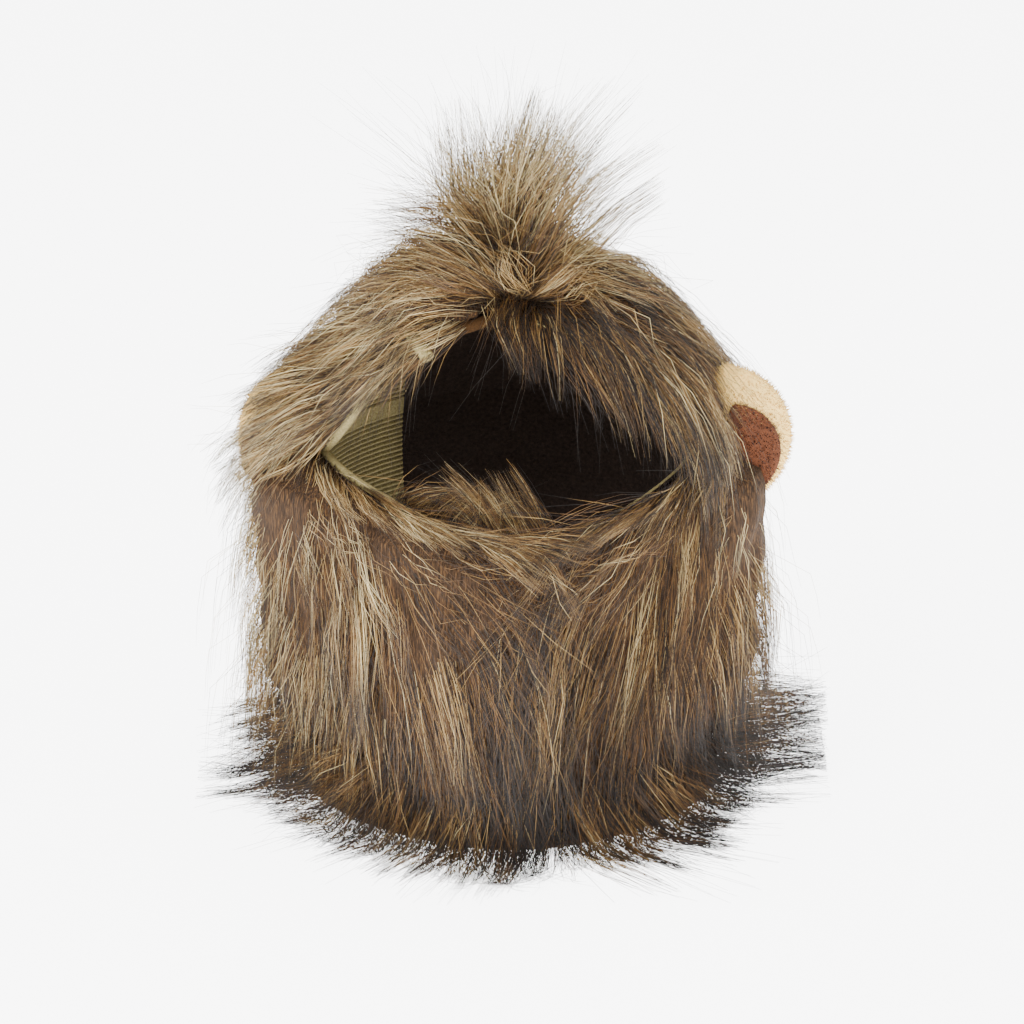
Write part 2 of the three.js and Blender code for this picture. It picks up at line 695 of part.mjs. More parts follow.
function neckFur({ from, to, seed, sweepAt, riseAt, grow }) {
  const [side, front] = [Math.cos((RUFF_FUR_FRONT + 20) * DEGREE), Math.cos(RUFF_FUR_FRONT * DEGREE)];
  return NECK_FUR_ROWS.flatMap((row, i) => {
    const reachAt = (azimuth) =>
      THREE.MathUtils.lerp(row.elsewhere, row.front, THREE.MathUtils.smoothstep(Math.cos(azimuth), side, front));
    return lockRow({
      heightAt: () => THREE.MathUtils.lerp(NECK_SEAM, CORNER_HEIGHT, row.height),
      from,
      to,
      reachAt,
      sweepAt,
      riseAt,
      splayAt: (azimuth) => 1 + SIDE_SPLAY * Math.sin(azimuth) ** 2,
      pile: NECK_PILE,
      seed: seed + i,
      grow,
    });
  });
}

// Fur along the lower edge of the face opening, combed towards the lip
function rimFur({ from, to, seed, sweep, riseAt, grow }) {
  return lockRow({
    heightAt: (azimuth) => openingFloorAt(azimuth) - RIM_INSET,
    from,
    to,
    reachAt: () => 0.7,
    sweepAt: () => sweep,
    riseAt,
    splayAt: () => 1,
    pile: NECK_PILE,
    seed,
    grow,
  });
}

const FLAP_MARGIN = LOCK_WIDTH / 3 / HOOD_HALF_WIDTH; // from a flap's end to its fur's roots
const FRONT_SWEEP = 8; // of the flaps' fur towards the middle
const LEFT_RIM_SWEEP = 24;
const RIGHT_RIM_SWEEP = -14;

function leftFlap(grow) {
  const [from, to] = [-FLAP_BACK_EDGE * DEGREE + SEAM_GAP / HOOD_HALF_WIDTH, LEFT_FLAP_END * DEGREE];
  const panel = neckPanel({ from, to, riseAt: overlapRise, grow }).subtract(faceOpening(-grow));
  const span = { from: from + FLAP_MARGIN, to: to - FLAP_MARGIN, riseAt: overlapRise, grow };
  const fur = neckFur({ ...span, seed: 21, sweepAt: (azimuth) => FRONT_SWEEP * Math.cos(azimuth) });
  const rim = rimFur({ ...span, from: -azimuthAt(OPENING_HALF_WIDTH, CORNER_HEIGHT), seed: 26, sweep: LEFT_RIM_SWEEP });
  return joined([panel, ...fur, ...rim]);
}

// Locks of the right flap's end that stand up inside the opening: place to the right of the lip and length as
// shares of LOCK_LENGTH, and lean to the right in degrees
const CHIN_LOCKS = [
  { place: -0.2, lean: -20, length: 0.43 },
  { place: -0.08, lean: -4, length: 0.56 },
  { place: 0.04, lean: 14, length: 0.46 },
];

function chinLock({ place, lean, length }, grow) {
  const beside = LIP_SIDE + place * LOCK_LENGTH;
  const azimuth = Math.sign(beside) * azimuthAt(Math.abs(beside), LIP_HEIGHT);
  const root = hoodPoint(azimuth, shareAt(LIP_HEIGHT), FUR_LIFT + FABRIC / 2);
  root.z = LIP_HEIGHT - FABRIC;
  const direction = new THREE.Vector3(Math.sin(lean * DEGREE), 0.12, Math.cos(lean * DEGREE)).normalize();
  const side = new THREE.Vector3(0, -1, 0).cross(direction).normalize();
  const up = new THREE.Vector3().crossVectors(side, direction);
  const stations = TUFT_STATIONS.map(({ along, wide, thick }) => ({
    centre: root.clone().addScaledVector(direction, along * length * LOCK_LENGTH),
    side,
    up: up.clone().negate(),
    wide,
    thick,
  }));
  return blade(stations, LOCK_WIDTH * 0.45, LOCK_THICKNESS * 0.6, grow);
}

function rightFlap(grow) {
  const [from, to] = [RIGHT_FLAP_END * DEGREE, FLAP_BACK_EDGE * DEGREE - SEAM_GAP / HOOD_HALF_WIDTH];
  const panel = neckPanel({ from, to, grow }).subtract(faceOpening(-grow));
  const span = { from: LEFT_FLAP_END * DEGREE + FLAP_MARGIN, to: to - FLAP_MARGIN, grow };
  const fur = neckFur({ ...span, seed: 31, sweepAt: (azimuth) => -FRONT_SWEEP * Math.cos(azimuth) });
  const rim = rimFur({ ...span, to: azimuthAt(OPENING_HALF_WIDTH, CORNER_HEIGHT), seed: 36, sweep: RIGHT_RIM_SWEEP });
  return joined([panel, ...fur, ...rim, ...CHIN_LOCKS.map((row) => chinLock(row, grow))]);
}

function neckBack(grow) {
  const [from, to] = [FLAP_BACK_EDGE * DEGREE, (360 - FLAP_BACK_EDGE) * DEGREE];
  const panel = neckPanel({ from, to, grow });
  const fur = neckFur({ from: from + FLAP_MARGIN, to: to - FLAP_MARGIN, seed: 41, sweepAt: flat, grow });
  return joined([panel, ...fur]);
}

// Ruff

// Its section: lift off the fur fabric's inner face and height, as shares of RUFF_FOOT and NECK_SEAM
const RUFF_SECTION = {
  outer: [
    { lift: 0.0, height: 1.0 },
    { lift: 0.22, height: 0.5 },
    { lift: 0.5, height: 0.22 },
    { lift: 1.0, height: 0.1 },
  ],
  inner: [
    { lift: 0.0, height: 1.0 },
    { lift: 0.1, height: 0.3 },
    { lift: 0.35, height: 0.0 },
    { lift: 1.0, height: 0.0 },
  ],
};
const RUFF_SLIT = 10; // degrees from the front, under the flaps' crossing
const RUFF_FUR_FRONT = 36; // degrees: the flaps' fur covers the ruff in front of this

function ruffPoint(azimuth, lift, height) {
  const foot = hoodPoint(azimuth, 0, FUR_LIFT + lift);
  foot.z = height;
  return foot;
}

function ruffBand() {
  const rows = RUFF_SECTION.outer.length - 1;
  const top = NECK_SEAM - SEAM_GAP / 2;
  const place = (azimuth, along) => {
    const row = Math.round(along * rows);
    const [outer, inner] = [RUFF_SECTION.outer[row], RUFF_SECTION.inner[row]];
    const thickness = row === 0 ? FABRIC : 0.6 * FABRIC;
    return {
      outer: ruffPoint(azimuth, outer.lift * RUFF_FOOT + thickness, outer.height * top),
      inner: ruffPoint(azimuth, inner.lift * RUFF_FOOT, inner.height * top),
    };
  };
  const slit = SEAM_GAP / HOOD_HALF_WIDTH;
  const from = RUFF_SLIT * DEGREE + slit;
  return strip({ from, to: from + 2 * Math.PI - 2 * slit, columns: HOOD_COLUMNS, rows, place });
}

// Stations of a ruff lock, as shares of its reach, width and thickness and of the fur's height
const RUFF_STATIONS = [
  { along: 0.1, wide: 0.85, thick: 0.35, height: 0.35 },
  { along: 0.45, wide: 1.0, thick: 1.0, height: 0.0 },
  { along: 1.0, wide: 0.0, thick: 0.0, height: 0.0 },
];

function ruffLock(azimuth, index) {
  const reach = RUFF_FUR * (1 + 0.24 * jitter(index, 3));
  const side = new THREE.Vector3().crossVectors(outward(azimuth, 0), UP).normalize();
  const turn = (0.15 * RUFF_FUR * jitter(index, 4)) / HOOD_HALF_WIDTH;
  const stations = RUFF_STATIONS.map(({ along, wide, thick, height }) => {
    const lift = along * reach;
    return { centre: ruffPoint(azimuth + turn * along, lift, height * NECK_SEAM), side, up: UP, wide, thick };
  });
  return blade(stations, LOCK_WIDTH * 1.1, RUFF_FUR_HEIGHT * (0.7 + 0.3 * jitter(index, 6)), 0);
}

function ruff() {
  const round = 2 * Math.PI - 2 * RUFF_FUR_FRONT * DEGREE;
  const count = Math.round((round * (HOOD_HALF_WIDTH + RUFF_FOOT)) / LOCK_PITCH);
  const locks = Array.from({ length: count }, (_, k) =>
    ruffLock(RUFF_FUR_FRONT * DEGREE + (round * (k + 0.5)) / count, 60 + k),
  );
  return joined([ruffBand(), ...locks]);
}

// Lining, facing and fastener

function lining() {
  const slit = box(
    new THREE.Vector3(LIP_SIDE - SEAM_GAP, -REACH, -REACH),
    new THREE.Vector3(LIP_SIDE, 0, (LIP_HEIGHT + CORNER_HEIGHT) / 2),
  );
  return cutBy(hoodWall(0, FABRIC), [faceOpening(0), slit]);
}

function facing() {
  const outerLift = -LAYER_GAP;
  const band = hoodWall(outerLift - FACING_THICKNESS, outerLift);
  const bottom = LIP_HEIGHT - FACING_WIDTH * 0.7;
  const front = joined([
    box(new THREE.Vector3(-REACH, -REACH, bottom), new THREE.Vector3(0, FACING_WIDTH * 1.4, REACH)),
    box(new THREE.Vector3(-SEAM_GAP, -REACH, bottom), new THREE.Vector3(REACH, FACING_WIDTH * 0.4, REACH)),
  ]);
  const slit = box(
    new THREE.Vector3(LIP_SIDE - SEAM_GAP, -REACH, -REACH),
    new THREE.Vector3(LIP_SIDE, 0, (LIP_HEIGHT + CORNER_HEIGHT) / 2),
  );
  return cutBy(band.intersect(front), [faceOpening(0), slit]);
}

function fastener() {
  const halfTurn = FASTENER_WIDTH / 2 / HOOD_HALF_DEPTH / 2;
  const middle = ((LEFT_FLAP_END + RIGHT_FLAP_END) / 2) * DEGREE;
  const inner = FUR_LIFT + FABRIC + FASTENER_GAP;
  return strip({
    from: middle - halfTurn,
    to: middle + halfTurn,
    columns: 3,
    rows: 2,
    place: (azimuth, along) => {
      const share = shareAt(THREE.MathUtils.lerp(FASTENER_BOTTOM, FASTENER_TOP, along));
      return {
        outer: hoodPoint(azimuth, share, inner + FASTENER_THICKNESS),
        inner: hoodPoint(azimuth, share, inner),
      };
    },
  });
}

// Ears

// Rows from the middle of the front face, over the rim, to the middle of the back: share of the outline, and
// place through the ear's thickness from front (-0.5) to back (0.5)
const EAR_SHELL_PROFILE = [
  { share: 0.0, depth: -0.08 },
  { share: 0.6, depth: -0.12 },
  { share: 0.78, depth: -0.42 },
  { share: 0.92, depth: -0.42 },
  { share: 1.0, depth: -0.1 },
  { share: 0.95, depth: 0.28 },
  { share: 0.6, depth: 0.46 },
  { share: 0.0, depth: 0.5 },
];
const EAR_PATCH_SHARE = 0.58;
const EAR_OUTLINE_STEPS = 14;

// The ear's outline: a straight sewn edge at the hood and a round outer edge, about its middle
function earOutline() {
  const points = [];
  for (let step = 0; step <= EAR_OUTLINE_STEPS; step++) {
    const angle = (step / EAR_OUTLINE_STEPS - 0.5) * Math.PI;
    points.push(new THREE.Vector2(EAR_REACH * Math.cos(angle), (EAR_HEIGHT / 2) * Math.sin(angle)));
  }
  points.push(new THREE.Vector2(0, 0));
  return points;
}

function earSolid(profile) {
  const outline = earOutline();
  const middle = new THREE.Vector2(EAR_REACH * 0.42, 0);
  const points = [];
  const faces = [];
  const count = outline.length;
  const place = (corner, share, y) =>
    new THREE.Vector3(
      THREE.MathUtils.lerp(middle.x, corner.x, share),
      y,
      THREE.MathUtils.lerp(middle.y, corner.y, share),
    );
  const front = points.push(place(middle, 0, profile[0].y)) - 1;
  const rings = profile.slice(1, -1).map((row) => {
    const first = points.length;
    outline.forEach((corner) => points.push(place(corner, row.share, row.y)));
    return first;
  });
  const back = points.push(place(middle, 0, profile.at(-1).y)) - 1;
  for (let k = 0; k < count; k++) {
    const next = (k + 1) % count;
    faces.push([front, rings[0] + k, rings[0] + next]);
    for (let ring = 0; ring < rings.length - 1; ring++) {
      faces.push([rings[ring] + k, rings[ring + 1] + k, rings[ring + 1] + next]);
      faces.push([rings[ring] + k, rings[ring + 1] + next, rings[ring] + next]);
    }
    faces.push([rings.at(-1) + k, back, rings.at(-1) + next]);
  }
  return solidOf(gridGeometry(points, faces));
}

function earShell() {
  return earSolid(EAR_SHELL_PROFILE.map(({ share, depth }) => ({ share, y: depth * EAR_THICKNESS })));
}

function earPatch() {
  const back = EAR_SHELL_PROFILE[1].depth * EAR_THICKNESS - EAR_PATCH_GAP;
  const frontFace = back - EAR_PATCH_THICKNESS;
  return earSolid([
    { share: 0, y: frontFace },
    { share: EAR_PATCH_SHARE * 0.93, y: frontFace },
    { share: EAR_PATCH_SHARE, y: back - EAR_PATCH_THICKNESS / 2 },
    { share: EAR_PATCH_SHARE * 0.93, y: back },
    { share: 0, y: back },
  ]);
}

// Where an ear's sewn edge meets the hood, as a matrix
function earPlace(side) {
  const azimuth = azimuthAt(HOOD_HALF_WIDTH, EAR_LEVEL);
  const edge = hoodPoint(azimuth, shareAt(EAR_LEVEL), FUR_LIFT + FABRIC / 2).x;
  const turn = side < 0 ? Math.PI - EAR_TURN * DEGREE : EAR_TURN * DEGREE;
  const matrix = new THREE.Matrix4().makeTranslation(side * edge, -EAR_FORWARD, EAR_LEVEL);
  matrix.multiply(new THREE.Matrix4().makeRotationZ(side < 0 ? turn - Math.PI : turn));
  if (side < 0) matrix.multiply(new THREE.Matrix4().makeScale(-1, 1, 1));
  return matrix;
}

function placed(solid, matrix) {
  return solidOf(meshOf("", solid, null).geometry.applyMatrix4(matrix));
}

// The materials' colours are those of the real fabrics

const knit = { roughness: 0.95, metalness: 0 };
const materials = {
  fur: new THREE.MeshStandardMaterial({ color: 0x8a6f48, ...knit }),
  ruffFur: new THREE.MeshStandardMaterial({ color: 0x5a4230, ...knit }),
  lining: new THREE.MeshStandardMaterial({ color: 0x2c231d, ...knit }),
  facing: new THREE.MeshStandardMaterial({ color: 0x9a8f68, ...knit }),
  earPlush: new THREE.MeshStandardMaterial({ color: 0xf0dba8, ...knit }),
  earPatch: new THREE.MeshStandardMaterial({ color: 0x7a4526, ...knit }),
  fastener: new THREE.MeshStandardMaterial({ color: 0x6b5a42, roughness: 0.8, metalness: 0 }),
};

// Assembly: each piece is cut clear of the pieces that lie over it

function earPieces(side) {
  const hood = joined([hoodWall(-FABRIC, FUR_LIFT + FABRIC + PILE_GAP)]);
  const shell = cutBy(placed(earShell(), earPlace(side)), [hood]);
  const patch = cutBy(placed(earPatch(), earPlace(side)), [hood]);
  return { shell, patch };
}

// A solid round an ear, with the space in front of its face, that keeps the fur clear of it
function earClearance(side) {
  const front = Math.min(...EAR_SHELL_PROFILE.map((row) => row.depth));
  const grown = EAR_SHELL_PROFILE.map(({ share, depth }) => ({
    share: share * (1 + 3 * PILE_GAP / EAR_REACH),
    y: (share < 0.9 && depth < 0 ? front : depth) * EAR_THICKNESS + 1.5 * Math.sign(depth) * PILE_GAP,
  }));
  return placed(earSolid(grown), earPlace(side));
}

const ears = { left: earPieces(-1), right: earPieces(1) };
function assemble() {
  const earSpace = [earClearance(-1), earClearance(1)];
  const liningSpace = hoodDome(FABRIC + 0.75 * LAYER_GAP);
  const floorSpace = box(
    new THREE.Vector3(-REACH, -REACH, -REACH),
    new THREE.Vector3(REACH, REACH, FLOOR_CLEARANCE),
  );
  const apart = [liningSpace, floorSpace];
  // The ears are sewn to the fabric, so only the fur makes room for them
  const hoodFabric = (side) => furWall(0).intersect(hoodRegion(side, 0)).subtract(faceOpening(0));
  const hoodPiece = (side) =>
    largestBody(hoodSide(side, 0).subtract(earSpace[side < 0 ? 0 : 1]).add(hoodFabric(side)));

  const pieces = [];
  const space = [];
  const fit = (name, solid, grown, material, clearOf) => {
    const rough = cutBy(solid, [...clearOf, ...space]).simplify(SLIGHT);
    const piece = cutBy(rough, pieces.map((other) => other.solid));
    pieces.push({ name, solid: piece, material });
    space.push(grown);
  };
  const { fur, ruffFur } = materials;
  fit("crown_tuft", crownTuft(0), crownTuft(PILE_GAP), fur, [hoodDome(PAD_LIFT - 0.1 * LAYER_GAP)]);
  fit("crest_strip", crestStrip(0), crestStrip(PILE_GAP), fur, apart);
  fit("hood_left", hoodPiece(-1), hoodSide(-1, PILE_GAP), fur, apart);
  fit("hood_right", hoodPiece(1), hoodSide(1, PILE_GAP), fur, apart);
  space.push(...earSpace);
  fit("chin_flap_left", leftFlap(0), leftFlap(PILE_GAP), fur, apart);
  fit("chin_flap_right", rightFlap(0), rightFlap(PILE_GAP), fur, apart);
  fit("neck_back", neckBack(0), neckBack(PILE_GAP), fur, apart);
  fit("neck_ruff", ruff(), ruff(), ruffFur, [liningSpace]);
  pieces.push(
    { name: "lining", solid: lining(), material: materials.lining },
    { name: "face_facing", solid: facing(), material: materials.facing },
    { name: "touch_fastener", solid: fastener(), material: materials.fastener },
    { name: "ear_left_shell", solid: ears.left.shell, material: materials.earPlush },
    { name: "ear_left_patch", solid: ears.left.patch, material: materials.earPatch },
    { name: "ear_right_shell", solid: ears.right.shell, material: materials.earPlush },
    { name: "ear_right_patch", solid: ears.right.patch, material: materials.earPatch },
  );
  return pieces;
}

const wig = new THREE.Group();
for (const { name, solid, material } of assemble()) wig.add(meshOf(name, solid, material));

// The origin is at the middle of the footprint, on the surface that the wig stands on
const extent = new THREE.Box3().setFromObject(wig);
const middle = extent.getCenter(new THREE.Vector3());
wig.position.set(-middle.x, -middle.y, -extent.min.z);

export default wig;
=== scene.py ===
"""Looks of a lion mane wig for a cat or a small dog.

Combed faux fur over a solid frame, with plush ears, a ribbed facing and a lining whose near-black
brown also paints the shade inside the hood.
"""

import math

import bmesh
import bpy
import numpy as np
from bpy.props import FloatProperty, FloatVectorProperty, IntProperty, PointerProperty
from bpy.types import Operator, Panel, PropertyGroup
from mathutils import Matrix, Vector


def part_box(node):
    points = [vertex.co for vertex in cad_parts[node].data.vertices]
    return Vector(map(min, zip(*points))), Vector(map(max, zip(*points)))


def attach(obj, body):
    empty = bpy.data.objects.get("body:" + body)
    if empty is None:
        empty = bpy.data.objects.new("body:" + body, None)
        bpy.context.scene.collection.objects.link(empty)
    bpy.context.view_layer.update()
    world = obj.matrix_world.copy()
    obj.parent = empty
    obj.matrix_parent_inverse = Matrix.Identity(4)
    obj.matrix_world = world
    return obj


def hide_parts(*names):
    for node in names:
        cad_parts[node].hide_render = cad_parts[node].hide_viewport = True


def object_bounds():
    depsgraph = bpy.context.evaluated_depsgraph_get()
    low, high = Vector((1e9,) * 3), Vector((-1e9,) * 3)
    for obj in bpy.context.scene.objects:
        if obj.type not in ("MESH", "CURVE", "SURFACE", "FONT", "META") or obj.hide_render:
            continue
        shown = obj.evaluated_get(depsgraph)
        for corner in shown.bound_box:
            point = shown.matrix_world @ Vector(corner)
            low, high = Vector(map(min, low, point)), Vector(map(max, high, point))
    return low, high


bl_info = {
    "name": "Lion mane wig",
    "version": (1, 0, 0),
    "blender": (4, 5, 0),
    "location": "3D View > Sidebar > Mane",
    "description": "Builds the fur, ears, facing and lining of a pet's lion mane wig over its solid frame",
    "category": "Object",
}

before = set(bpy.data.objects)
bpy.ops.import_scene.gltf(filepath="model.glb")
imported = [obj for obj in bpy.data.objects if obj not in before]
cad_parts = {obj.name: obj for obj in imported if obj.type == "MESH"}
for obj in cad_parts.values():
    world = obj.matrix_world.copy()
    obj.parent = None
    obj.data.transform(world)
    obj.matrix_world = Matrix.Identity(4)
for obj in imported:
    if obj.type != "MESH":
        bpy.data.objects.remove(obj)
CAD_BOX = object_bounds()

MM = 0.001
DEGREE = math.pi / 180
DOWN = np.array([0.0, 0.0, -1.0])

# Hood, at the lining's inner face, in the frame's metres
LINING_WALL = 1.8 * MM
LINING_LOW, LINING_HIGH = (Vector(corner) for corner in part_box("lining"))
HOOD_CENTRE = (LINING_LOW + LINING_HIGH) / 2
HOOD_HALF_WIDTH = (LINING_HIGH.x - LINING_LOW.x) / 2 - LINING_WALL
HOOD_HALF_DEPTH = (LINING_HIGH.y - LINING_LOW.y) / 2 - LINING_WALL
HOOD_HEIGHT = LINING_HIGH.z - LINING_WALL
SIDE_POWER = 1.75
# Columns: height, width and depth, as shares of the hood's
HOOD_SECTIONS = np.array(
    [
        (0.00, 0.95, 0.98),
        (0.20, 0.94, 0.94),
        (0.42, 0.98, 0.98),
        (0.60, 1.00, 1.00),
        (0.74, 0.93, 0.95),
        (0.86, 0.72, 0.76),
        (0.95, 0.42, 0.46),
        (1.00, 0.00, 0.00),
    ]
)
BACKING_LIFT = 2.2 * MM  # inner face of the fur fabric, off the lining's inner face
BACKING = 1.8 * MM

# Face opening
OPENING_HALF_WIDTH = 61 * MM
CORNER_HEIGHT = 122 * MM
OPENING_TOP = 176 * MM
LIP_HEIGHT = 104 * MM
LIP_SIDE = 8 * MM
# Columns: share of the half width, share of the height above the corners
OPENING_UPPER_EDGE = np.array(
    [(-1.0, 0.0), (-0.7, 0.56), (-0.34, 0.86), (0.0, 1.0), (0.34, 0.86), (0.7, 0.56), (1.0, 0.0)]
)
FACING_WIDTH = 30 * MM
FACING_LIFT = -0.4 * MM

CREST_HALF_WIDTH = 9 * MM
LEFT_FLAP_END = 16 * DEGREE
FLAP_BACK_EDGE = 98 * DEGREE
NECK_SEAM = 13 * MM


# Colours and node trees


def linear(hex_colour):
    """An sRGB hex colour as linear red, green and blue."""
    channels = [int(hex_colour[i : i + 2], 16) / 255 for i in (1, 3, 5)]
    return tuple(c / 12.92 if c <= 0.04045 else ((c + 0.055) / 1.055) ** 2.4 for c in channels)


def add_node(tree, kind, inputs=None, **settings):
    """Adds a node with its settings; each input is a value, or a socket to link from."""
    made = tree.nodes.new(kind)
    for name, value in settings.items():
        setattr(made, name, value)
    for key, value in (inputs or {}).items():
        if isinstance(value, bpy.types.NodeSocket):
            tree.links.new(value, made.inputs[key])
        else:
            made.inputs[key].default_value = value
    return made


def new_material(name):
    """An empty material with its node tree and output."""
    material = bpy.data.materials.new(name)
    material.use_nodes = True
    material.node_tree.nodes.clear()
    output = add_node(material.node_tree, "ShaderNodeOutputMaterial")
    return material, material.node_tree, output


def colour_ramp(tree, factor, stops):
    """A ramp over (place, linear colour) stops."""
    ramp = add_node(tree, "ShaderNodeValToRGB", {"Fac": factor})
    elements = ramp.color_ramp.elements
    elements[0].position, elements[1].position = stops[0][0], stops[-1][0]
    elements[0].color, elements[1].color = (*stops[0][1], 1), (*stops[-1][1], 1)
    for place, colour in stops[1:-1]:
        elements.new(place).color = (*colour, 1)
    return ramp.outputs["Color"]


# Sizes and colours that a user would change


class ManeSizes(PropertyGroup):
    """Sizes of the fur and the knit."""

    fibre_radius: FloatProperty(
        name="Fibre radius",
        description="Half the thickness of a fibre at its root, about twice the real one so that it shows",
        default=0.115 * MM,
        unit="LENGTH",
    )
    fibre_share: FloatProperty(
        name="Fibre share",
        description="Share of the full number of fibres",
        default=1.0,
        min=0.05,
        max=1.0,
        subtype="FACTOR",
    )
    hood_fibre: FloatProperty(
        name="Hood fibre length",
        description="Length of the fur on the hood",
        default=66 * MM,
        unit="LENGTH",
    )
    neck_fibre: FloatProperty(
        name="Neck fibre length",
        description="Length of the fur below the face",
        default=70 * MM,
        unit="LENGTH",
    )
    tuft_fibre: FloatProperty(
        name="Tuft fibre length",
        description="Length of the upright fur on the crown",
        default=61 * MM,
        unit="LENGTH",
    )
    ruff_fibre: FloatProperty(
        name="Ruff fibre length", description="Length of the fur at the hem", default=50 * MM, unit="LENGTH"
    )
    hood_pile: FloatProperty(
        name="Hood pile", description="How far the hood's fur stands off it", default=21 * MM, unit="LENGTH"
    )
    neck_pile: FloatProperty(
        name="Neck pile", description="How far the neck's fur stands off it", default=16 * MM, unit="LENGTH"
    )
    rib_pitch: FloatProperty(
        name="Rib pitch",
        description="From one rib of the knitted facing to the next one up",
        default=1.7 * MM,
        unit="LENGTH",
    )
    plush_pile: FloatProperty(
        name="Plush pile", description="Length of the ears' short pile", default=1.5 * MM, unit="LENGTH"
    )
    seed: IntProperty(name="Seed", description="Starts the fibres' chance differences", default=7, min=0)


class ManeColours(PropertyGroup):
    """Colours of the fabrics."""

    guard_hair: FloatVectorProperty(
        name="Guard hair", description="Darkest fibres and tips", subtype="COLOR", default=linear("#1b1613")
    )
    root: FloatVectorProperty(
        name="Root", description="Fibres near the backing", subtype="COLOR", default=linear("#2c2016")
    )
    rust: FloatVectorProperty(
        name="Rust",
        description="Fibres between brown and golden",
        subtype="COLOR",
        default=linear("#6e4d27"),
    )
    golden: FloatVectorProperty(
        name="Golden tan", description="Most of the fur", subtype="COLOR", default=linear("#a38350")
    )
    beige: FloatVectorProperty(
        name="Light beige", description="Lightest locks", subtype="COLOR", default=linear("#dac796")
    )
    ear_plush: FloatVectorProperty(
        name="Ear plush", description="Outside of the ears", subtype="COLOR", default=linear("#f0ca78")
    )
    ear_patch: FloatVectorProperty(
        name="Ear patch", description="Inside of the ears", subtype="COLOR", default=linear("#58301a")
    )
    facing: FloatVectorProperty(
        name="Facing",
        description="Ribbed knit round the opening",
        subtype="COLOR",
        default=linear("#a99c70"),
    )
    # The lining's near-black brown is partly its own colour and partly painted shade for the unlit inside of
    # the hood.
    lining: FloatVectorProperty(
        name="Lining", description="Inside of the hood", subtype="COLOR", default=linear("#241b16")
    )


# The hood's form


def smooth_through(points, per_span=24):
    """A centripetal Catmull-Rom line through the points, with its ends carried straight on."""
    padded = np.vstack([2 * points[0] - points[1], points, 2 * points[-1] - points[-2]])
    line = []
    for i in range(len(points) - 1):
        p = padded[i : i + 4]
        knots = np.concatenate([[0], np.cumsum(np.sqrt(np.linalg.norm(np.diff(p, axis=0), axis=1)))])
        t = np.linspace(knots[1], knots[2], per_span, endpoint=False)[:, None]

        def mix(a, b, low, high):
            return (a * (knots[high] - t) + b * (t - knots[low])) / (knots[high] - knots[low])

        first = [mix(p[k], p[k + 1], k, k + 1) for k in range(3)]
        second = [mix(first[k], first[k + 1], k, k + 2) for k in range(2)]
        line.append(mix(second[0], second[1], 1, 2))
    return np.vstack([*line, points[-1:]])


_heights, _widths, _depths = HOOD_SECTIONS.T
MERIDIAN = smooth_through(
    np.stack(
        [
            _widths * HOOD_HALF_WIDTH * math.sqrt(0.5),
            _depths * HOOD_HALF_DEPTH * math.sqrt(0.5),
            _heights * HOOD_HEIGHT,
        ],
        axis=1,
    )
)
MERIDIAN_ALONG = np.concatenate([[0], np.cumsum(np.linalg.norm(np.diff(MERIDIAN, axis=0), axis=1))])
MERIDIAN_LENGTH = MERIDIAN_ALONG[-1]
MERIDIAN_SHARE = MERIDIAN_ALONG / MERIDIAN_LENGTH


def section_at(share):
    """Half width, half depth and height at a share of the meridian."""
    share = np.clip(share, 0, 1)
    return (
        np.interp(share, MERIDIAN_SHARE, MERIDIAN[:, 0]) * math.sqrt(2),
        np.interp(share, MERIDIAN_SHARE, MERIDIAN[:, 1]) * math.sqrt(2),
        np.interp(share, MERIDIAN_SHARE, MERIDIAN[:, 2]),
    )


def share_at(height):
    """Share of the meridian at a height."""
    return np.interp(height, MERIDIAN[:, 2], MERIDIAN_SHARE)


def unit(vectors):
    """Vectors at length one."""
    return vectors / np.maximum(np.linalg.norm(vectors, axis=-1, keepdims=True), 1e-9)


def inner_face(azimuth, share):
    """Points on the lining's inner face; azimuth 0 is in front and grows to the right."""
    half_width, half_depth, height = section_at(share)

    def rounded(value):
        return np.sign(value) * np.abs(value) ** (2 / SIDE_POWER)

    return np.stack(
        [
            HOOD_CENTRE.x + half_width * rounded(np.sin(azimuth)),
            HOOD_CENTRE.y - half_depth * rounded(np.cos(azimuth)),
            height,
        ],
        axis=-1,
    )


def hood_frame(azimuth, share):
    """Points on the hood with their outward, downward and sideways directions."""
    azimuth, share = np.broadcast_arrays(azimuth, np.clip(share, 0.001, 0.992))
    turn, climb = 0.03, 0.006
    across = unit(inner_face(azimuth + turn, share) - inner_face(azimuth - turn, share))
    down = unit(inner_face(azimuth, share - climb) - inner_face(azimuth, share + climb))
    outward = unit(np.cross(down, across))
    return inner_face(azimuth, share), outward, down, across


def lifted(azimuth, share, lift):
    """Points at a lift off the hood."""
    points, outward, _, _ = hood_frame(azimuth, share)
    return points + outward * np.asarray(lift)[..., None]


def azimuth_at(side, height):
    """The azimuth, on the right, at which the hood is as wide as side at a height."""
    half_width, _, _ = section_at(share_at(height))
    return np.arcsin(np.minimum(side / half_width, 1) ** (SIDE_POWER / 2))


def opening_top_at(side):
    """Height of the opening's upper edge at a distance to the right of its middle."""
    share = np.interp(side / OPENING_HALF_WIDTH, OPENING_UPPER_EDGE[:, 0], OPENING_UPPER_EDGE[:, 1])
    return CORNER_HEIGHT + share * (OPENING_TOP - CORNER_HEIGHT)


def opening_floor_at(side):
    """Height of the opening's lower edge at a distance to the right of its middle."""
    corners = [-OPENING_HALF_WIDTH, LIP_SIDE, OPENING_HALF_WIDTH]
    return np.interp(side, corners, [CORNER_HEIGHT, LIP_HEIGHT, CORNER_HEIGHT])


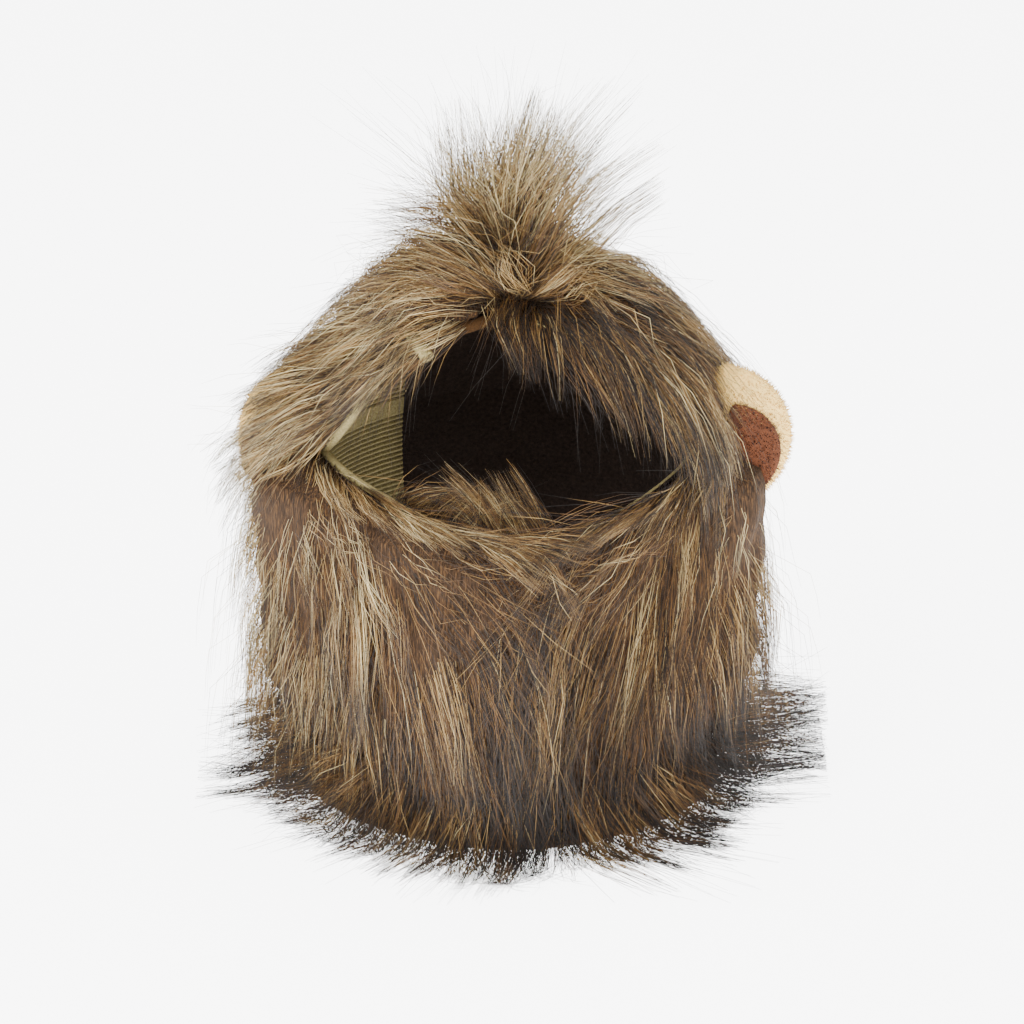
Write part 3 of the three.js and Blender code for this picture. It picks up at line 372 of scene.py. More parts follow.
def opening_half_width_at(height):
    """Half the opening's width at a height above its corners."""
    share = (height - CORNER_HEIGHT) / (OPENING_TOP - CORNER_HEIGHT)
    rows = OPENING_UPPER_EDGE[3:][::-1]
    side = np.interp(share, rows[:, 1], rows[:, 0]) * OPENING_HALF_WIDTH
    return np.where(share >= 1, CREST_HALF_WIDTH, np.maximum(side, CREST_HALF_WIDTH))


def smoothstep(low, high, value):
    """A smooth rise from 0 at low to 1 at high."""
    t = np.clip((value - low) / (high - low), 0, 1)
    return t * t * (3 - 2 * t)


def drift(azimuth, height, seed):
    """A smooth field between about -1 and 1 over the hood, with waves 20 to 60 mm long."""
    rng = np.random.default_rng(seed)
    total = np.zeros(np.broadcast(azimuth, height).shape)
    for _ in range(5):
        round_waves = rng.integers(2, 9)
        up_waves = rng.uniform(-1, 1) * 2 * math.pi / (35 * MM)
        total = total + np.sin(round_waves * azimuth + up_waves * height + rng.uniform(0, 2 * math.pi))
    return total / 3


# Fibres


def scatter(rng, count, within):
    """Roots spread evenly over the part of the hood for which within(azimuth, share, points) holds."""
    widest = HOOD_HALF_WIDTH + HOOD_HALF_DEPTH
    found = []
    while sum(len(part[0]) for part in found) < count:
        azimuth = rng.uniform(-math.pi, math.pi, 8 * count)
        share = rng.uniform(0, 1, 8 * count)
        half_width, half_depth, _ = section_at(share)
        kept = rng.uniform(0, widest, 8 * count) < half_width + half_depth
        kept &= within(azimuth, share, inner_face(azimuth, share))
        found.append((azimuth[kept], share[kept]))
    azimuth, share = (np.concatenate(column)[:count] for column in zip(*found))
    return azimuth, share


def nearest(points, centres):
    """For each point, the index of its nearest centre."""
    index = np.empty(len(points), int)
    for start in range(0, len(points), 2000):
        block = points[start : start + 2000, None, :] - centres[None, :, :]
        index[start : start + 2000] = np.argmin((block**2).sum(axis=2), axis=1)
    return index


def stand_off(points, least, most):
    """Moves points sideways so that their lift off the hood is between least and most."""
    height = np.clip(points[:, 2], 0, HOOD_HEIGHT * 0.995)
    half_width, half_depth, _ = section_at(share_at(height))
    x = points[:, 0] - HOOD_CENTRE.x
    y = points[:, 1] - HOOD_CENTRE.y
    powers = np.abs(x / half_width) ** SIDE_POWER + np.abs(y / half_depth) ** SIDE_POWER
    radius = np.maximum(powers ** (1 / SIDE_POWER), 0.05)
    mean = (half_width + half_depth) / 2
    low, high = 1 + least / mean, 1 + most / mean
    scale = np.where(points[:, 2] < HOOD_HEIGHT * 0.96, np.clip(radius, low, high) / radius, 1.0)
    moved = points.copy()
    moved[:, 0] = HOOD_CENTRE.x + x * scale
    moved[:, 1] = HOOD_CENTRE.y + y * scale
    return moved


def clear_of_ears(points, before):
    """Moves points out of the ears, to the side of them that the fibre starts from."""
    moved = points.copy()
    for node in ("ear_left_shell", "ear_right_shell"):
        low, high = (Vector(corner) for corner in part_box(node))
        margin = 2.5 * MM
        past_low = points > np.array([low.x, low.y, low.z]) - margin
        before_high = points < np.array([high.x, high.y, high.z]) + margin
        inside = np.all(past_low & before_high, axis=1)
        moved[:, 1] = np.where(inside, np.where(before, low.y - margin, high.y + margin), moved[:, 1])
    return moved


def on_floor(points, step):
    """Fibres that reach the floor splay over it."""
    moved = points.copy()
    below = np.maximum(0.4 * MM - points[:, 2], 0)
    away = unit(np.stack([points[:, 0] - HOOD_CENTRE.x, points[:, 1] - HOOD_CENTRE.y], axis=1))
    moved[:, :2] += away * np.minimum(below, step)[:, None] * 0.8
    moved[:, 2] = np.where(below > 0, 0.4 * MM + below * 0.08, moved[:, 2])
    return moved


def lay_fibres(
    rng,
    starts,
    first,
    comb,
    length,
    least,
    most,
    weight,
    lock_size=22,
    tress_size=150,
    gather=0.52,
    lock_spread=0.15,
    stray=0.1,
    wave=1.4 * MM,
    spans=4,
    hug=True,
):
    """Centre lines of fibres that leave the backing along first, lean into comb and hang by their weight.

    They draw together into locks, and the locks into wider tresses, but for a few stray ones. Also gives
    each fibre's lock, how much lighter or darker it is, and which are stray; the lightness is a random
    tone per tress plus painted light and shade: lighter high in the pile, darker low in it and at a
    tress's edge, where the hollows between tresses are.
    """
    count = len(starts)
    seeds = rng.choice(count, max(count // lock_size, 1), replace=False)
    lock = nearest(starts, starts[seeds])
    tress_seeds = rng.choice(count, max(count // tress_size, 1), replace=False)
    tress = nearest(starts, starts[tress_seeds])
    from_middle = np.linalg.norm(starts - starts[tress_seeds][tress], axis=1)
    edge = from_middle / max(from_middle.mean(), 1e-6)
    sideways = unit(np.cross(first, comb))
    lean = rng.normal(0, 0.17, len(tress_seeds))[tress] + rng.normal(0, lock_spread, len(seeds))[lock]
    lean = lean + rng.normal(0, 0.1, count)
    is_stray = rng.uniform(size=count) < stray
    is_stray[seeds] = False
    is_stray[tress_seeds] = False
    lean = lean + is_stray * rng.normal(0, 0.6, count)
    comb = unit(comb + sideways * lean[:, None])
    lock_length = rng.uniform(0.82, 1.12, len(seeds))[lock]
    length = length * lock_length * rng.uniform(0.6, 1.06, count) * (1 + 0.12 * is_stray)
    high = rng.uniform(0.0, 1.0, len(tress_seeds))[tress] * (1.15 - 0.35 * np.minimum(edge, 2))
    layer = 0.1 + 0.4 * high + 0.25 * rng.uniform(0, 1, len(seeds))[lock] + 0.25 * rng.uniform(0, 1, count)
    layer = np.where(is_stray, rng.uniform(0.6, 1.05, count), layer)
    most = most * rng.uniform(0.8, 1.1, count)
    step = length / spans
    heading = unit(first)
    before = starts[:, 1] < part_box("ear_left_shell")[0][1]
    lines = [starts]
    for span in range(spans):
        along = (span + 1) / spans
        heading = unit(heading + comb * (0.55 - 0.2 * along) + DOWN * (weight * (0.25 + along))[:, None])
        point = lines[-1] + heading * step[:, None]
        if hug:
            standing = np.minimum(1, 2.4 * along)
            point = stand_off(
                point,
                BACKING_LIFT + BACKING + (least + (most - least) * layer) * standing * 0.8,
                BACKING_LIFT + BACKING + most * (0.7 + 0.45 * along) * (0.65 + 0.35 * layer),
            )
        point = clear_of_ears(point, before)
        lines.append(on_floor(point, step))
    lines = np.stack(lines, axis=1)
    along = np.linspace(0, 1, spans + 1)
    together = ~is_stray[:, None, None]
    drawn = (gather * smoothstep(0.05, 0.95, along))[None, :, None] * together
    lines = lines + (lines[seeds[lock]] - lines) * drawn
    drawn = (0.3 * smoothstep(0.2, 1.0, along))[None, :, None] * together
    lines = lines + (lines[tress_seeds[tress]] - lines) * drawn
    phase = rng.uniform(0, 2 * math.pi, (count, 1))
    turns = rng.uniform(0.6, 1.5, count)[:, None]
    own_swing = np.sin(2 * math.pi * turns * along + phase) - np.sin(phase)
    lock_phase = rng.uniform(0, 2 * math.pi, len(seeds))[lock][:, None]
    lock_swing = np.sin(2 * math.pi * 0.9 * along + lock_phase) - np.sin(lock_phase)
    swing = (own_swing * 0.8 + lock_swing) * np.reshape(wave, (-1, 1)) * along
    lines = lines + sideways[:, None, :] * swing[..., None]
    lines[..., 2] = np.maximum(lines[..., 2], 0.25 * MM)
    # Painted light and shade: fibres high in the pile are lighter and low ones darker, and fibres at a
    # tress's edge darker, for the hollows between tresses; the per-tress random term is the fur's own tone.
    tone_and_painted_shading = 0.09 * rng.normal(0, 1, len(tress_seeds))[tress] + 0.36 * (layer - 0.5)
    tone_and_painted_shading = tone_and_painted_shading - 0.14 * smoothstep(0.9, 1.7, edge)
    return lines, lock, np.clip(tone_and_painted_shading, -0.35, 0.15), is_stray


def keep_in_reach(lines, reach=9 * MM):
    """Fibres end no further than reach outside the solid's box."""
    low = np.array(CAD_BOX[0]) - reach
    high = np.array(CAD_BOX[1]) + reach
    return np.clip(lines, low, high)


def fibre_tree():
    """Geometry nodes that sweep a fibre along each centre line."""
    tree = bpy.data.node_groups.new("sweep_fibres", "GeometryNodeTree")
    sockets = tree.interface
    sockets.new_socket("Centre lines", in_out="INPUT", socket_type="NodeSocketGeometry")
    radius = sockets.new_socket("Fibre radius", in_out="INPUT", socket_type="NodeSocketFloat")
    radius.subtype = "DISTANCE"
    sides = sockets.new_socket("Fibre sides", in_out="INPUT", socket_type="NodeSocketInt")
    finish = sockets.new_socket("Fibre material", in_out="INPUT", socket_type="NodeSocketMaterial")
    sockets.new_socket("Fibres", in_out="OUTPUT", socket_type="NodeSocketGeometry")
    given = add_node(tree, "NodeGroupInput").outputs
    girth = add_node(tree, "GeometryNodeInputNamedAttribute", {"Name": "girth"}, data_type="FLOAT")
    width = add_node(
        tree,
        "ShaderNodeMath",
        {0: girth.outputs["Attribute"], 1: given["Fibre radius"]},
        operation="MULTIPLY",
    )
    curves = add_node(tree, "GeometryNodeMeshToCurve", {"Mesh": given["Centre lines"]})
    sized = add_node(
        tree,
        "GeometryNodeSetCurveRadius",
        {"Curve": curves.outputs["Curve"], "Radius": width.outputs["Value"]},
    )
    outline = add_node(
        tree,
        "GeometryNodeCurvePrimitiveCircle",
        {"Resolution": given["Fibre sides"], "Radius": 1.0},
        mode="RADIUS",
    )
    curve_radius = add_node(tree, "GeometryNodeInputRadius")
    swept = add_node(
        tree,
        "GeometryNodeCurveToMesh",
        {
            "Curve": sized.outputs["Curve"],
            "Profile Curve": outline.outputs["Curve"],
            "Scale": curve_radius.outputs["Radius"],
            "Fill Caps": True,
        },
    )
    real = add_node(tree, "GeometryNodeRealizeInstances", {"Geometry": swept.outputs["Mesh"]})
    done = add_node(
        tree,
        "GeometryNodeSetMaterial",
        {"Geometry": real.outputs["Geometry"], "Material": given["Fibre material"]},
    )
    add_node(tree, "NodeGroupOutput", {"Fibres": done.outputs["Geometry"]})
    return tree, {"radius": radius.identifier, "sides": sides.identifier, "finish": finish.identifier}


def mesh_object(name, vertices, edges=(), faces=()):
    """A new object whose mesh has these parts."""
    mesh = bpy.data.meshes.new(name)
    mesh.from_pydata(vertices, edges, faces)
    mesh.update()
    made = bpy.data.objects.new(name, mesh)
    bpy.context.collection.objects.link(made)
    return made


def baked(made):
    """Turns an object with modifiers into a plain mesh."""
    depsgraph = bpy.context.evaluated_depsgraph_get()
    mesh = bpy.data.meshes.new_from_object(made.evaluated_get(depsgraph), depsgraph=depsgraph)
    made.modifiers.clear()
    old, made.data = made.data, mesh
    mesh.name = made.name
    bpy.data.meshes.remove(old)
    return made


def fibres_object(name, lines, tone, tip, material, taper=0.72, stray=None, radius=None, sides=3):
    """A mesh of swept fibres, with how far along, how light and how dark-tipped each is as attributes.

    Stray ones are thinner, with darker tips.
    """
    lines = keep_in_reach(lines)
    count, points = lines.shape[:2]
    first = np.arange(count)[:, None] * points + np.arange(points - 1)[None, :]
    edges = np.stack([first, first + 1], axis=2).reshape(-1, 2)
    mesh = bpy.data.meshes.new(name)
    mesh.vertices.add(count * points)
    mesh.vertices.foreach_set("co", lines.reshape(-1).astype(np.float32))
    mesh.edges.add(len(edges))
    mesh.edges.foreach_set("vertices", edges.reshape(-1).astype(np.int32))
    mesh.update()
    along = np.tile(np.linspace(0, 1, points), (count, 1))
    girth = 1 - taper * along**1.6
    if stray is not None:
        girth = girth * np.where(stray, 0.8, 1.0)[:, None]
        tip = np.where(stray, 1.3, tip)
    tone, tip = (value[:, None] + 0 * along for value in (tone, tip))
    for attribute, values in {"along": along, "girth": girth, "tone": tone, "tip": tip}.items():
        store = mesh.attributes.new(attribute, "FLOAT", "POINT").data
        store.foreach_set("value", values.reshape(-1).astype(np.float32))
    made = bpy.data.objects.new(name, mesh)
    bpy.context.collection.objects.link(made)
    tree, sockets = fibre_tree()
    modifier = made.modifiers.new("Fibres", "NODES")
    modifier.node_group = tree
    modifier[sockets["radius"]] = radius or bpy.context.scene.mane_sizes.fibre_radius
    modifier[sockets["sides"]] = sides
    modifier[sockets["finish"]] = material
    made = baked(made)
    made.data.shade_smooth()
    return made


def join(target, *others):
    """Joins objects into the first one, with their materials."""
    joined = [target, *others]
    with bpy.context.temp_override(
        active_object=target, object=target, selected_objects=joined, selected_editable_objects=joined
    ):
        bpy.ops.object.join()
    return target


def finish_piece(piece, slot, *nodes):
    """Lets a piece ride with the object and stand for its solids."""
    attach(piece, "root")
    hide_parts(*nodes)


# Underwool: a closed, uneven wall that the fibres grow from


def ruled_wall(name, corner_at, columns, rows, inner_lift, outer_lift, seed, roughness, swell_at=None):
    """A closed wall over the patch corner_at(u, v) -> azimuth, share, with an uneven outer face."""
    u, v = np.meshgrid(np.linspace(0, 1, columns + 1), np.linspace(0, 1, rows + 1), indexing="ij")
    azimuth, share = corner_at(u, v)
    edge = np.minimum.reduce([u, 1 - u, v, 1 - v])
    wide_waves = drift(azimuth * 3, section_at(share)[2] * 2, seed)
    rough = roughness * (wide_waves + 0.6 * drift(azimuth * 7, 0, seed + 1))
    swell = 0.35 + 0.65 * smoothstep(0, 0.1, edge)
    thickness = outer_lift - inner_lift + rough
    if swell_at:
        thickness = thickness + swell_at(azimuth, section_at(share)[2])
    outer = lifted(azimuth, share, inner_lift + thickness * swell)
    inner = lifted(azimuth, share, inner_lift + 0 * azimuth)
    return closed_sheet(name, outer, inner)


def closed_sheet(name, outer, inner):
    """Two grids of points made into one closed wall."""
    columns, rows = outer.shape[0] - 1, outer.shape[1] - 1
    vertices = np.vstack([outer.reshape(-1, 3), inner.reshape(-1, 3)])
    per_face = (columns + 1) * (rows + 1)
    faces = []
    for i in range(columns):
        for j in range(rows):
            a = i * (rows + 1) + j
            b, c, d = a + rows + 1, a + rows + 2, a + 1
            faces.append((a, b, c, d))
            faces.append((a + per_face, d + per_face, c + per_face, b + per_face))
    rim = [i * (rows + 1) for i in range(columns + 1)]
    rim += [columns * (rows + 1) + j for j in range(1, rows + 1)]
    rim += [i * (rows + 1) + rows for i in range(columns - 1, -1, -1)]
    rim += list(range(rows - 1, 0, -1))
    for a, b in zip(rim, rim[1:] + rim[:1]):
        faces.append((b, a, a + per_face, b + per_face))
    made = mesh_object(name, vertices.tolist(), faces=faces)
    shape = bmesh.new()
    shape.from_mesh(made.data)
    bmesh.ops.remove_doubles(shape, verts=shape.verts, dist=0.02 * MM)
    bmesh.ops.recalc_face_normals(shape, faces=shape.faces)
    shape.to_mesh(made.data)
    shape.free()
    made.data.shade_smooth()
    return made


# Materials


def faux_fur():
    """Long acrylic fur: smooth, softly glossy fibres, brown at the root and often black-brown at the tip."""
    colours = bpy.context.scene.mane_colours
    material, tree, output = new_material("long_acrylic_faux_fur")
    attribute = {
        name: add_node(tree, "ShaderNodeAttribute", attribute_name=name).outputs["Fac"]
        for name in ("along", "tone", "tip")
    }
    # The tone attribute holds each fibre's own lightness together with the painted light and shade that
    # lay_fibres gives it.
    body = colour_ramp(
        tree,
        attribute["tone"],
        [
            (0.0, colours.guard_hair),
            (0.18, colours.root),
            (0.42, colours.rust),
            (0.68, colours.golden),
            (1.0, colours.beige),
        ],
    )
    rooted = add_node(
        tree, "ShaderNodeMapRange", {"Value": attribute["along"], "From Min": 0.0, "From Max": 0.45}
    )
    from_root = add_node(
        tree,
        "ShaderNodeMix",
        {"Factor": rooted.outputs["Result"], "A": (*colours.root, 1), "B": body},
        data_type="RGBA",
    )
    tipped = add_node(
        tree,
        "ShaderNodeMapRange",
        {"Value": attribute["along"], "From Min": 0.55, "From Max": 0.92},
        interpolation_type="SMOOTHSTEP",
    )
    dark = add_node(
        tree,
        "ShaderNodeMath",
        {0: tipped.outputs["Result"], 1: attribute["tip"]},
        operation="MULTIPLY",
        use_clamp=True,
    )
    to_tip = add_node(
        tree,
        "ShaderNodeMix",
        {"Factor": dark.outputs["Value"], "A": from_root.outputs["Result"], "B": (*colours.guard_hair, 1)},
        data_type="RGBA",
    )
    shader = add_node(
        tree,
        "ShaderNodeBsdfPrincipled",
        {"Base Color": to_tip.outputs["Result"], "Roughness": 0.5, "Specular IOR Level": 0.35},
    )
    tree.links.new(shader.outputs["BSDF"], output.inputs["Surface"])
    return material


def underwool():
    """Crimped underwool and knitted backing: matt and dark brown, in narrow streaks whose near-black ends
    paint the shade deep in the pile between the locks.
    """
    colours = bpy.context.scene.mane_colours
    material, tree, output = new_material("crimped_underwool_painted_shade")
    place = add_node(tree, "ShaderNodeTexCoord").outputs["Object"]
    stretched = add_node(tree, "ShaderNodeMapping", {"Vector": place, "Scale": (1.0, 1.0, 0.12)})
    streaks = add_node(
        tree,
        "ShaderNodeTexNoise",
        {"Vector": stretched.outputs["Vector"], "Scale": 1 / (0.6 * MM), "Detail": 3.0, "Roughness": 0.65},
    )
    # The darkest streaks are painted shade deep in the pile; the browns are the underwool's own colour.
    colour = colour_ramp(
        tree,
        streaks.outputs["Fac"],
        [(0.3, linear("#140d08")), (0.52, linear("#38281a")), (0.74, linear("#66492b"))],
    )
    bump = add_node(
        tree, "ShaderNodeBump", {"Height": streaks.outputs["Fac"], "Strength": 1.0, "Distance": 1.0 * MM}
    )
    shader = add_node(
        tree,
        "ShaderNodeBsdfPrincipled",
        {
            "Base Color": colour,
            "Roughness": 0.9,
            "Specular IOR Level": 0.15,
            "Normal": bump.outputs["Normal"],
        },
    )
    tree.links.new(shader.outputs["BSDF"], output.inputs["Surface"])
    return material


def plush(name, colour, seed_offset):
    """Short polyester plush: matt, a light bloom at grazing angles, and slight patches painted lighter and
    darker as the light and shade on pile that leans different ways.
    """
    material, tree, output = new_material(name)
    place = add_node(tree, "ShaderNodeTexCoord").outputs["Object"]
    moved = add_node(tree, "ShaderNodeMapping", {"Vector": place, "Location": (seed_offset, 0, 0)})
    patches, grain = (
        add_node(
            tree, "ShaderNodeTexNoise", {"Vector": moved.outputs["Vector"], "Scale": 1 / size, "Detail": 2.0}
        )
        for size in (6 * MM, 0.5 * MM)
    )
    # Painted light and shade: patches lighter and darker as pile leaning different ways catches the light.
    painted_pile_light_and_shade = colour_ramp(
        tree,
        patches.outputs["Fac"],
        [(0.3, tuple(c * 0.82 for c in colour)), (0.7, tuple(min(c * 1.06, 1.0) for c in colour))],
    )
    bump = add_node(
        tree, "ShaderNodeBump", {"Height": grain.outputs["Fac"], "Strength": 0.7, "Distance": 0.4 * MM}
    )
    shader = add_node(
        tree,
        "ShaderNodeBsdfPrincipled",
        {
            "Base Color": painted_pile_light_and_shade,
            "Roughness": 0.9,
            "Specular IOR Level": 0.2,
            "Sheen Weight": 0.1,
            "Sheen Roughness": 0.5,
            "Normal": bump.outputs["Normal"],
        },
    )
    tree.links.new(shader.outputs["BSDF"], output.inputs["Surface"])
    return material


def ribbed_knit():
    """Cotton rib knit: matt, with small loops along each rib and painted shade in the grooves between them.
    """
    colours = bpy.context.scene.mane_colours
    material, tree, output = new_material("cotton_rib_knit")
    rib = add_node(tree, "ShaderNodeAttribute", attribute_name="rib").outputs["Fac"]
    place = add_node(tree, "ShaderNodeTexCoord").outputs["Object"]
    loops = add_node(
        tree,
        "ShaderNodeTexNoise",
        {"Vector": place, "Scale": 1 / (0.7 * MM), "Detail": 2.0, "Roughness": 0.6},
    )
    # Painted shade: the grooves between ribs are darker, the crests a little lighter.
    shares = ((0.0, 0.5), (0.55, 1), (1.0, 1.1))
    stops = [(depth, tuple(c * share for c in colours.facing)) for depth, share in shares]
    colour = colour_ramp(tree, rib, stops)
    worn = add_node(
        tree,
        "ShaderNodeMix",
        {"Factor": loops.outputs["Fac"], "A": colour, "B": (*(c * 0.7 for c in colours.facing), 1)},
        data_type="RGBA",
        blend_type="MULTIPLY",
    )
    bump = add_node(
        tree, "ShaderNodeBump", {"Height": loops.outputs["Fac"], "Strength": 0.8, "Distance": 0.4 * MM}
    )
    shader = add_node(
        tree,
        "ShaderNodeBsdfPrincipled",
        {
            "Base Color": worn.outputs["Result"],
            "Roughness": 0.85,
            "Specular IOR Level": 0.2,
            "Normal": bump.outputs["Normal"],
        },
    )
    tree.links.new(shader.outputs["BSDF"], output.inputs["Surface"])
    return material


def fleece(name, colour, grain):
    """Brushed knit: matt and soft, with a low uneven nap, painted darker in its hollows and lighter on its
    tops as shade and light.
    """
    material, tree, output = new_material(name)
    place = add_node(tree, "ShaderNodeTexCoord").outputs["Object"]
    nap = add_node(
        tree, "ShaderNodeTexNoise", {"Vector": place, "Scale": 1 / grain, "Detail": 4.0, "Roughness": 0.7}
    )
    # Painted shade and light: the same noise sets the bump and the colour, so the nap is darker in its
    # hollows and lighter on its tops.
    stops = [(height, tuple(c * share for c in colour)) for height, share in ((0.3, 0.45), (0.75, 1.3))]
    tone_and_painted_shading = colour_ramp(tree, nap.outputs["Fac"], stops)
    bump = add_node(
        tree, "ShaderNodeBump", {"Height": nap.outputs["Fac"], "Strength": 1.0, "Distance": grain / 2}
    )
    shader = add_node(
        tree,
        "ShaderNodeBsdfPrincipled",
        {
            "Base Color": tone_and_painted_shading,
            "Roughness": 0.95,
            "Specular IOR Level": 0.1,
            "Normal": bump.outputs["Normal"],
        },
    )
    tree.links.new(shader.outputs["BSDF"], output.inputs["Surface"])
    return material


# Fur pieces


def tones(rng, lock, tone_and_painted_shading, mean, spread=0.1, own=0.2):
    """How light each fibre is: alike in a tress and a lock, with the painted light and shade of its place
    in the pile, and some dark guard hairs and light ones.
    """
    per_lock = rng.normal(0, spread, lock.max() + 1)[lock]
    tone = mean + tone_and_painted_shading + per_lock + rng.normal(0, own, len(lock))
    kind = rng.uniform(size=len(lock))
    tone = np.where(kind < 0.17, rng.uniform(0.0, 0.12, len(lock)), tone)
    return np.clip(np.where(kind > 0.95, tone + 0.35, tone), 0.0, 1.0)


def fur_object(name, lines, tone, tip, stray, taper=0.72):
    """A mesh of fur fibres with the fur's material."""
    fur = bpy.data.materials["long_acrylic_faux_fur"]
    return fibres_object(name, lines, tone, tip, fur, taper=taper, stray=stray)


def fibre_count(full):
    """Number of fibres in a piece."""
    return int(full * bpy.context.scene.mane_sizes.fibre_share)


def hood_panel(side):
    """One half of the hood's fur, above the seam at the opening's corners."""
    sizes = bpy.context.scene.mane_sizes
    rng = np.random.default_rng(sizes.seed + (1 if side < 0 else 2))
    name = "hood_left" if side < 0 else "hood_right"

    def within(azimuth, share, points):
        x, y, z = (points - np.array([HOOD_CENTRE.x, HOOD_CENTRE.y, 0])).T
        opened = (y < -5 * MM) & (z < opening_top_at(x)) & (np.abs(x) < OPENING_HALF_WIDTH)
        return (z > CORNER_HEIGHT) & (side * x > CREST_HALF_WIDTH * 0.6) & ~opened

    azimuth, share = scatter(rng, fibre_count(3900), within)
    points, outward, down, across = hood_frame(azimuth, share)
    frontness = np.clip(np.cos(azimuth), 0, 1)
    height = points[:, 2]
    if side < 0:
        angle = -(10 + 58 * smoothstep(-0.1, 0.5, np.cos(azimuth))) * DEGREE
    else:
        angle = (6 + 34 * frontness) * DEGREE
    angle = angle + 14 * DEGREE * drift(azimuth, height, 31 + side)
    comb = down * np.cos(angle)[:, None] + across * np.sin(angle)[:, None]
    crownness = smoothstep(0.145, 0.180, height)
    hanging = fringe(rng, fibre_count(1600 if side > 0 else 1850), side)
    starts = np.vstack([points + outward * (BACKING_LIFT + BACKING / 2), hanging[0]])
    first = np.vstack([outward * (0.75 + 1.1 * crownness)[:, None] + comb, hanging[1]])
    weight = np.concatenate([0.22 + 0.25 * (1 - frontness), hanging[6]])
    forward = np.cos(azimuth)
    by_ear = smoothstep(0.75, 0.3, forward) * (forward > -0.1) * smoothstep(0.168, 0.145, height)
    more_pile = 2 * MM * crownness + (7 * MM if side < 0 else -9 * MM) * by_ear
    pile = np.concatenate([sizes.hood_pile + more_pile, hanging[4]])
    lines, lock, tone_and_painted_shading, stray = lay_fibres(
        rng,
        starts,
        first,
        np.vstack([comb, hanging[2]]),
        np.concatenate([sizes.hood_fibre * (1 - 0.15 * crownness), hanging[3]]),
        least=2 * MM,
        most=pile,
        weight=weight,
        wave=1.3 * MM,
    )
    parting = np.exp(-np.abs(points[:, 0]) / (20 * MM)) * smoothstep(0.3, 0.7, np.cos(azimuth))
    mean = 0.64 + 0.07 * drift(azimuth * 2, height * 2, 41 + side) - 0.3 * parting
    if side > 0:
        mean = mean - 0.34 * frontness
    tone = tones(rng, lock, tone_and_painted_shading, np.concatenate([mean, hanging[5]]))
    tip = np.clip(rng.normal(0.75, 0.25, len(lock)), 0.1, 1)
    fibres = fur_object(name + "_fur", lines, tone, tip, stray)

    def patch(u, v):
        height = CORNER_HEIGHT + 0.3 * MM + v * (HOOD_HEIGHT * 0.985 - CORNER_HEIGHT)
        front = azimuth_at(opening_half_width_at(height), height)
        back = math.pi - azimuth_at(CREST_HALF_WIDTH, height)
        return side * (front + u * (back - front)), share_at(height)

    wool = ruled_wall(
        name + "_wool", patch, 60, 26, BACKING_LIFT, BACKING_LIFT + 7 * MM, 51 + side, 1.6 * MM
    )
    wool.data.materials.append(bpy.data.materials["crimped_underwool_painted_shade"])
    piece = join(fibres, wool)
    finish_piece(piece, "mane_fur", name)
    return piece


def fringe(rng, count, side):
    """The fur at one side of the opening's upper edge, which hangs over the opening.

    On the left most of it sweeps back over the ear. Gives roots, first directions, combs, lengths, piles,
    tones and weights.
    """
    place = rng.uniform(-0.06 if side > 0 else 0.16, 0.98, count)
    height = opening_top_at(place * OPENING_HALF_WIDTH) + rng.uniform(-1 * MM, 9 * MM, count)
    azimuth = side * np.sign(place) * azimuth_at(np.abs(place) * OPENING_HALF_WIDTH, height)
    points, outward, _, _ = hood_frame(azimuth, share_at(height))
    back = (rng.uniform(size=count) < 0.75) * (side < 0) * smoothstep(0.45, 0.75, place)
    off_parting = smoothstep(0.0, 0.4, place)
    reach = (0.26 * off_parting if side > 0 else 0.3) + rng.normal(0, 0.16, count) + 1.2 * back
    comb = unit(np.stack([side * reach, -0.3 + 0.25 * back, -1 + 0.4 * back], axis=1))
    aside = side * 0.5 * (off_parting if side > 0 else 1)
    away = np.stack([aside + 0 * place, 0 * place, 0.4 + 0 * place], axis=1)
    first = outward * (0.9 + 0.4 * back)[:, None] + comb + away
    fall = 72 * MM * (0.66 + 0.34 * off_parting) if side > 0 else 46 * MM
    length = fall * (1 - 0.5 * np.abs(place - 0.45)) + 8 * MM * back
    pile = 12 * MM + 25 * MM * back
    tone = (0.2 + 0.12 * off_parting if side > 0 else 0.48) + 0.12 * back
    weight = 0.35 - 0.25 * back
    return points + outward * BACKING_LIFT, first, comb, length, pile, tone + 0 * place, weight


class MANE_OT_hood_fur(Operator):
    """Fur of the hood's left and right panels"""

    bl_idname = "mane.hood_fur"
    bl_label = "Hood fur"

    def execute(self, context):
        for side in (-1, 1):
            hood_panel(side)
        return {"FINISHED"}


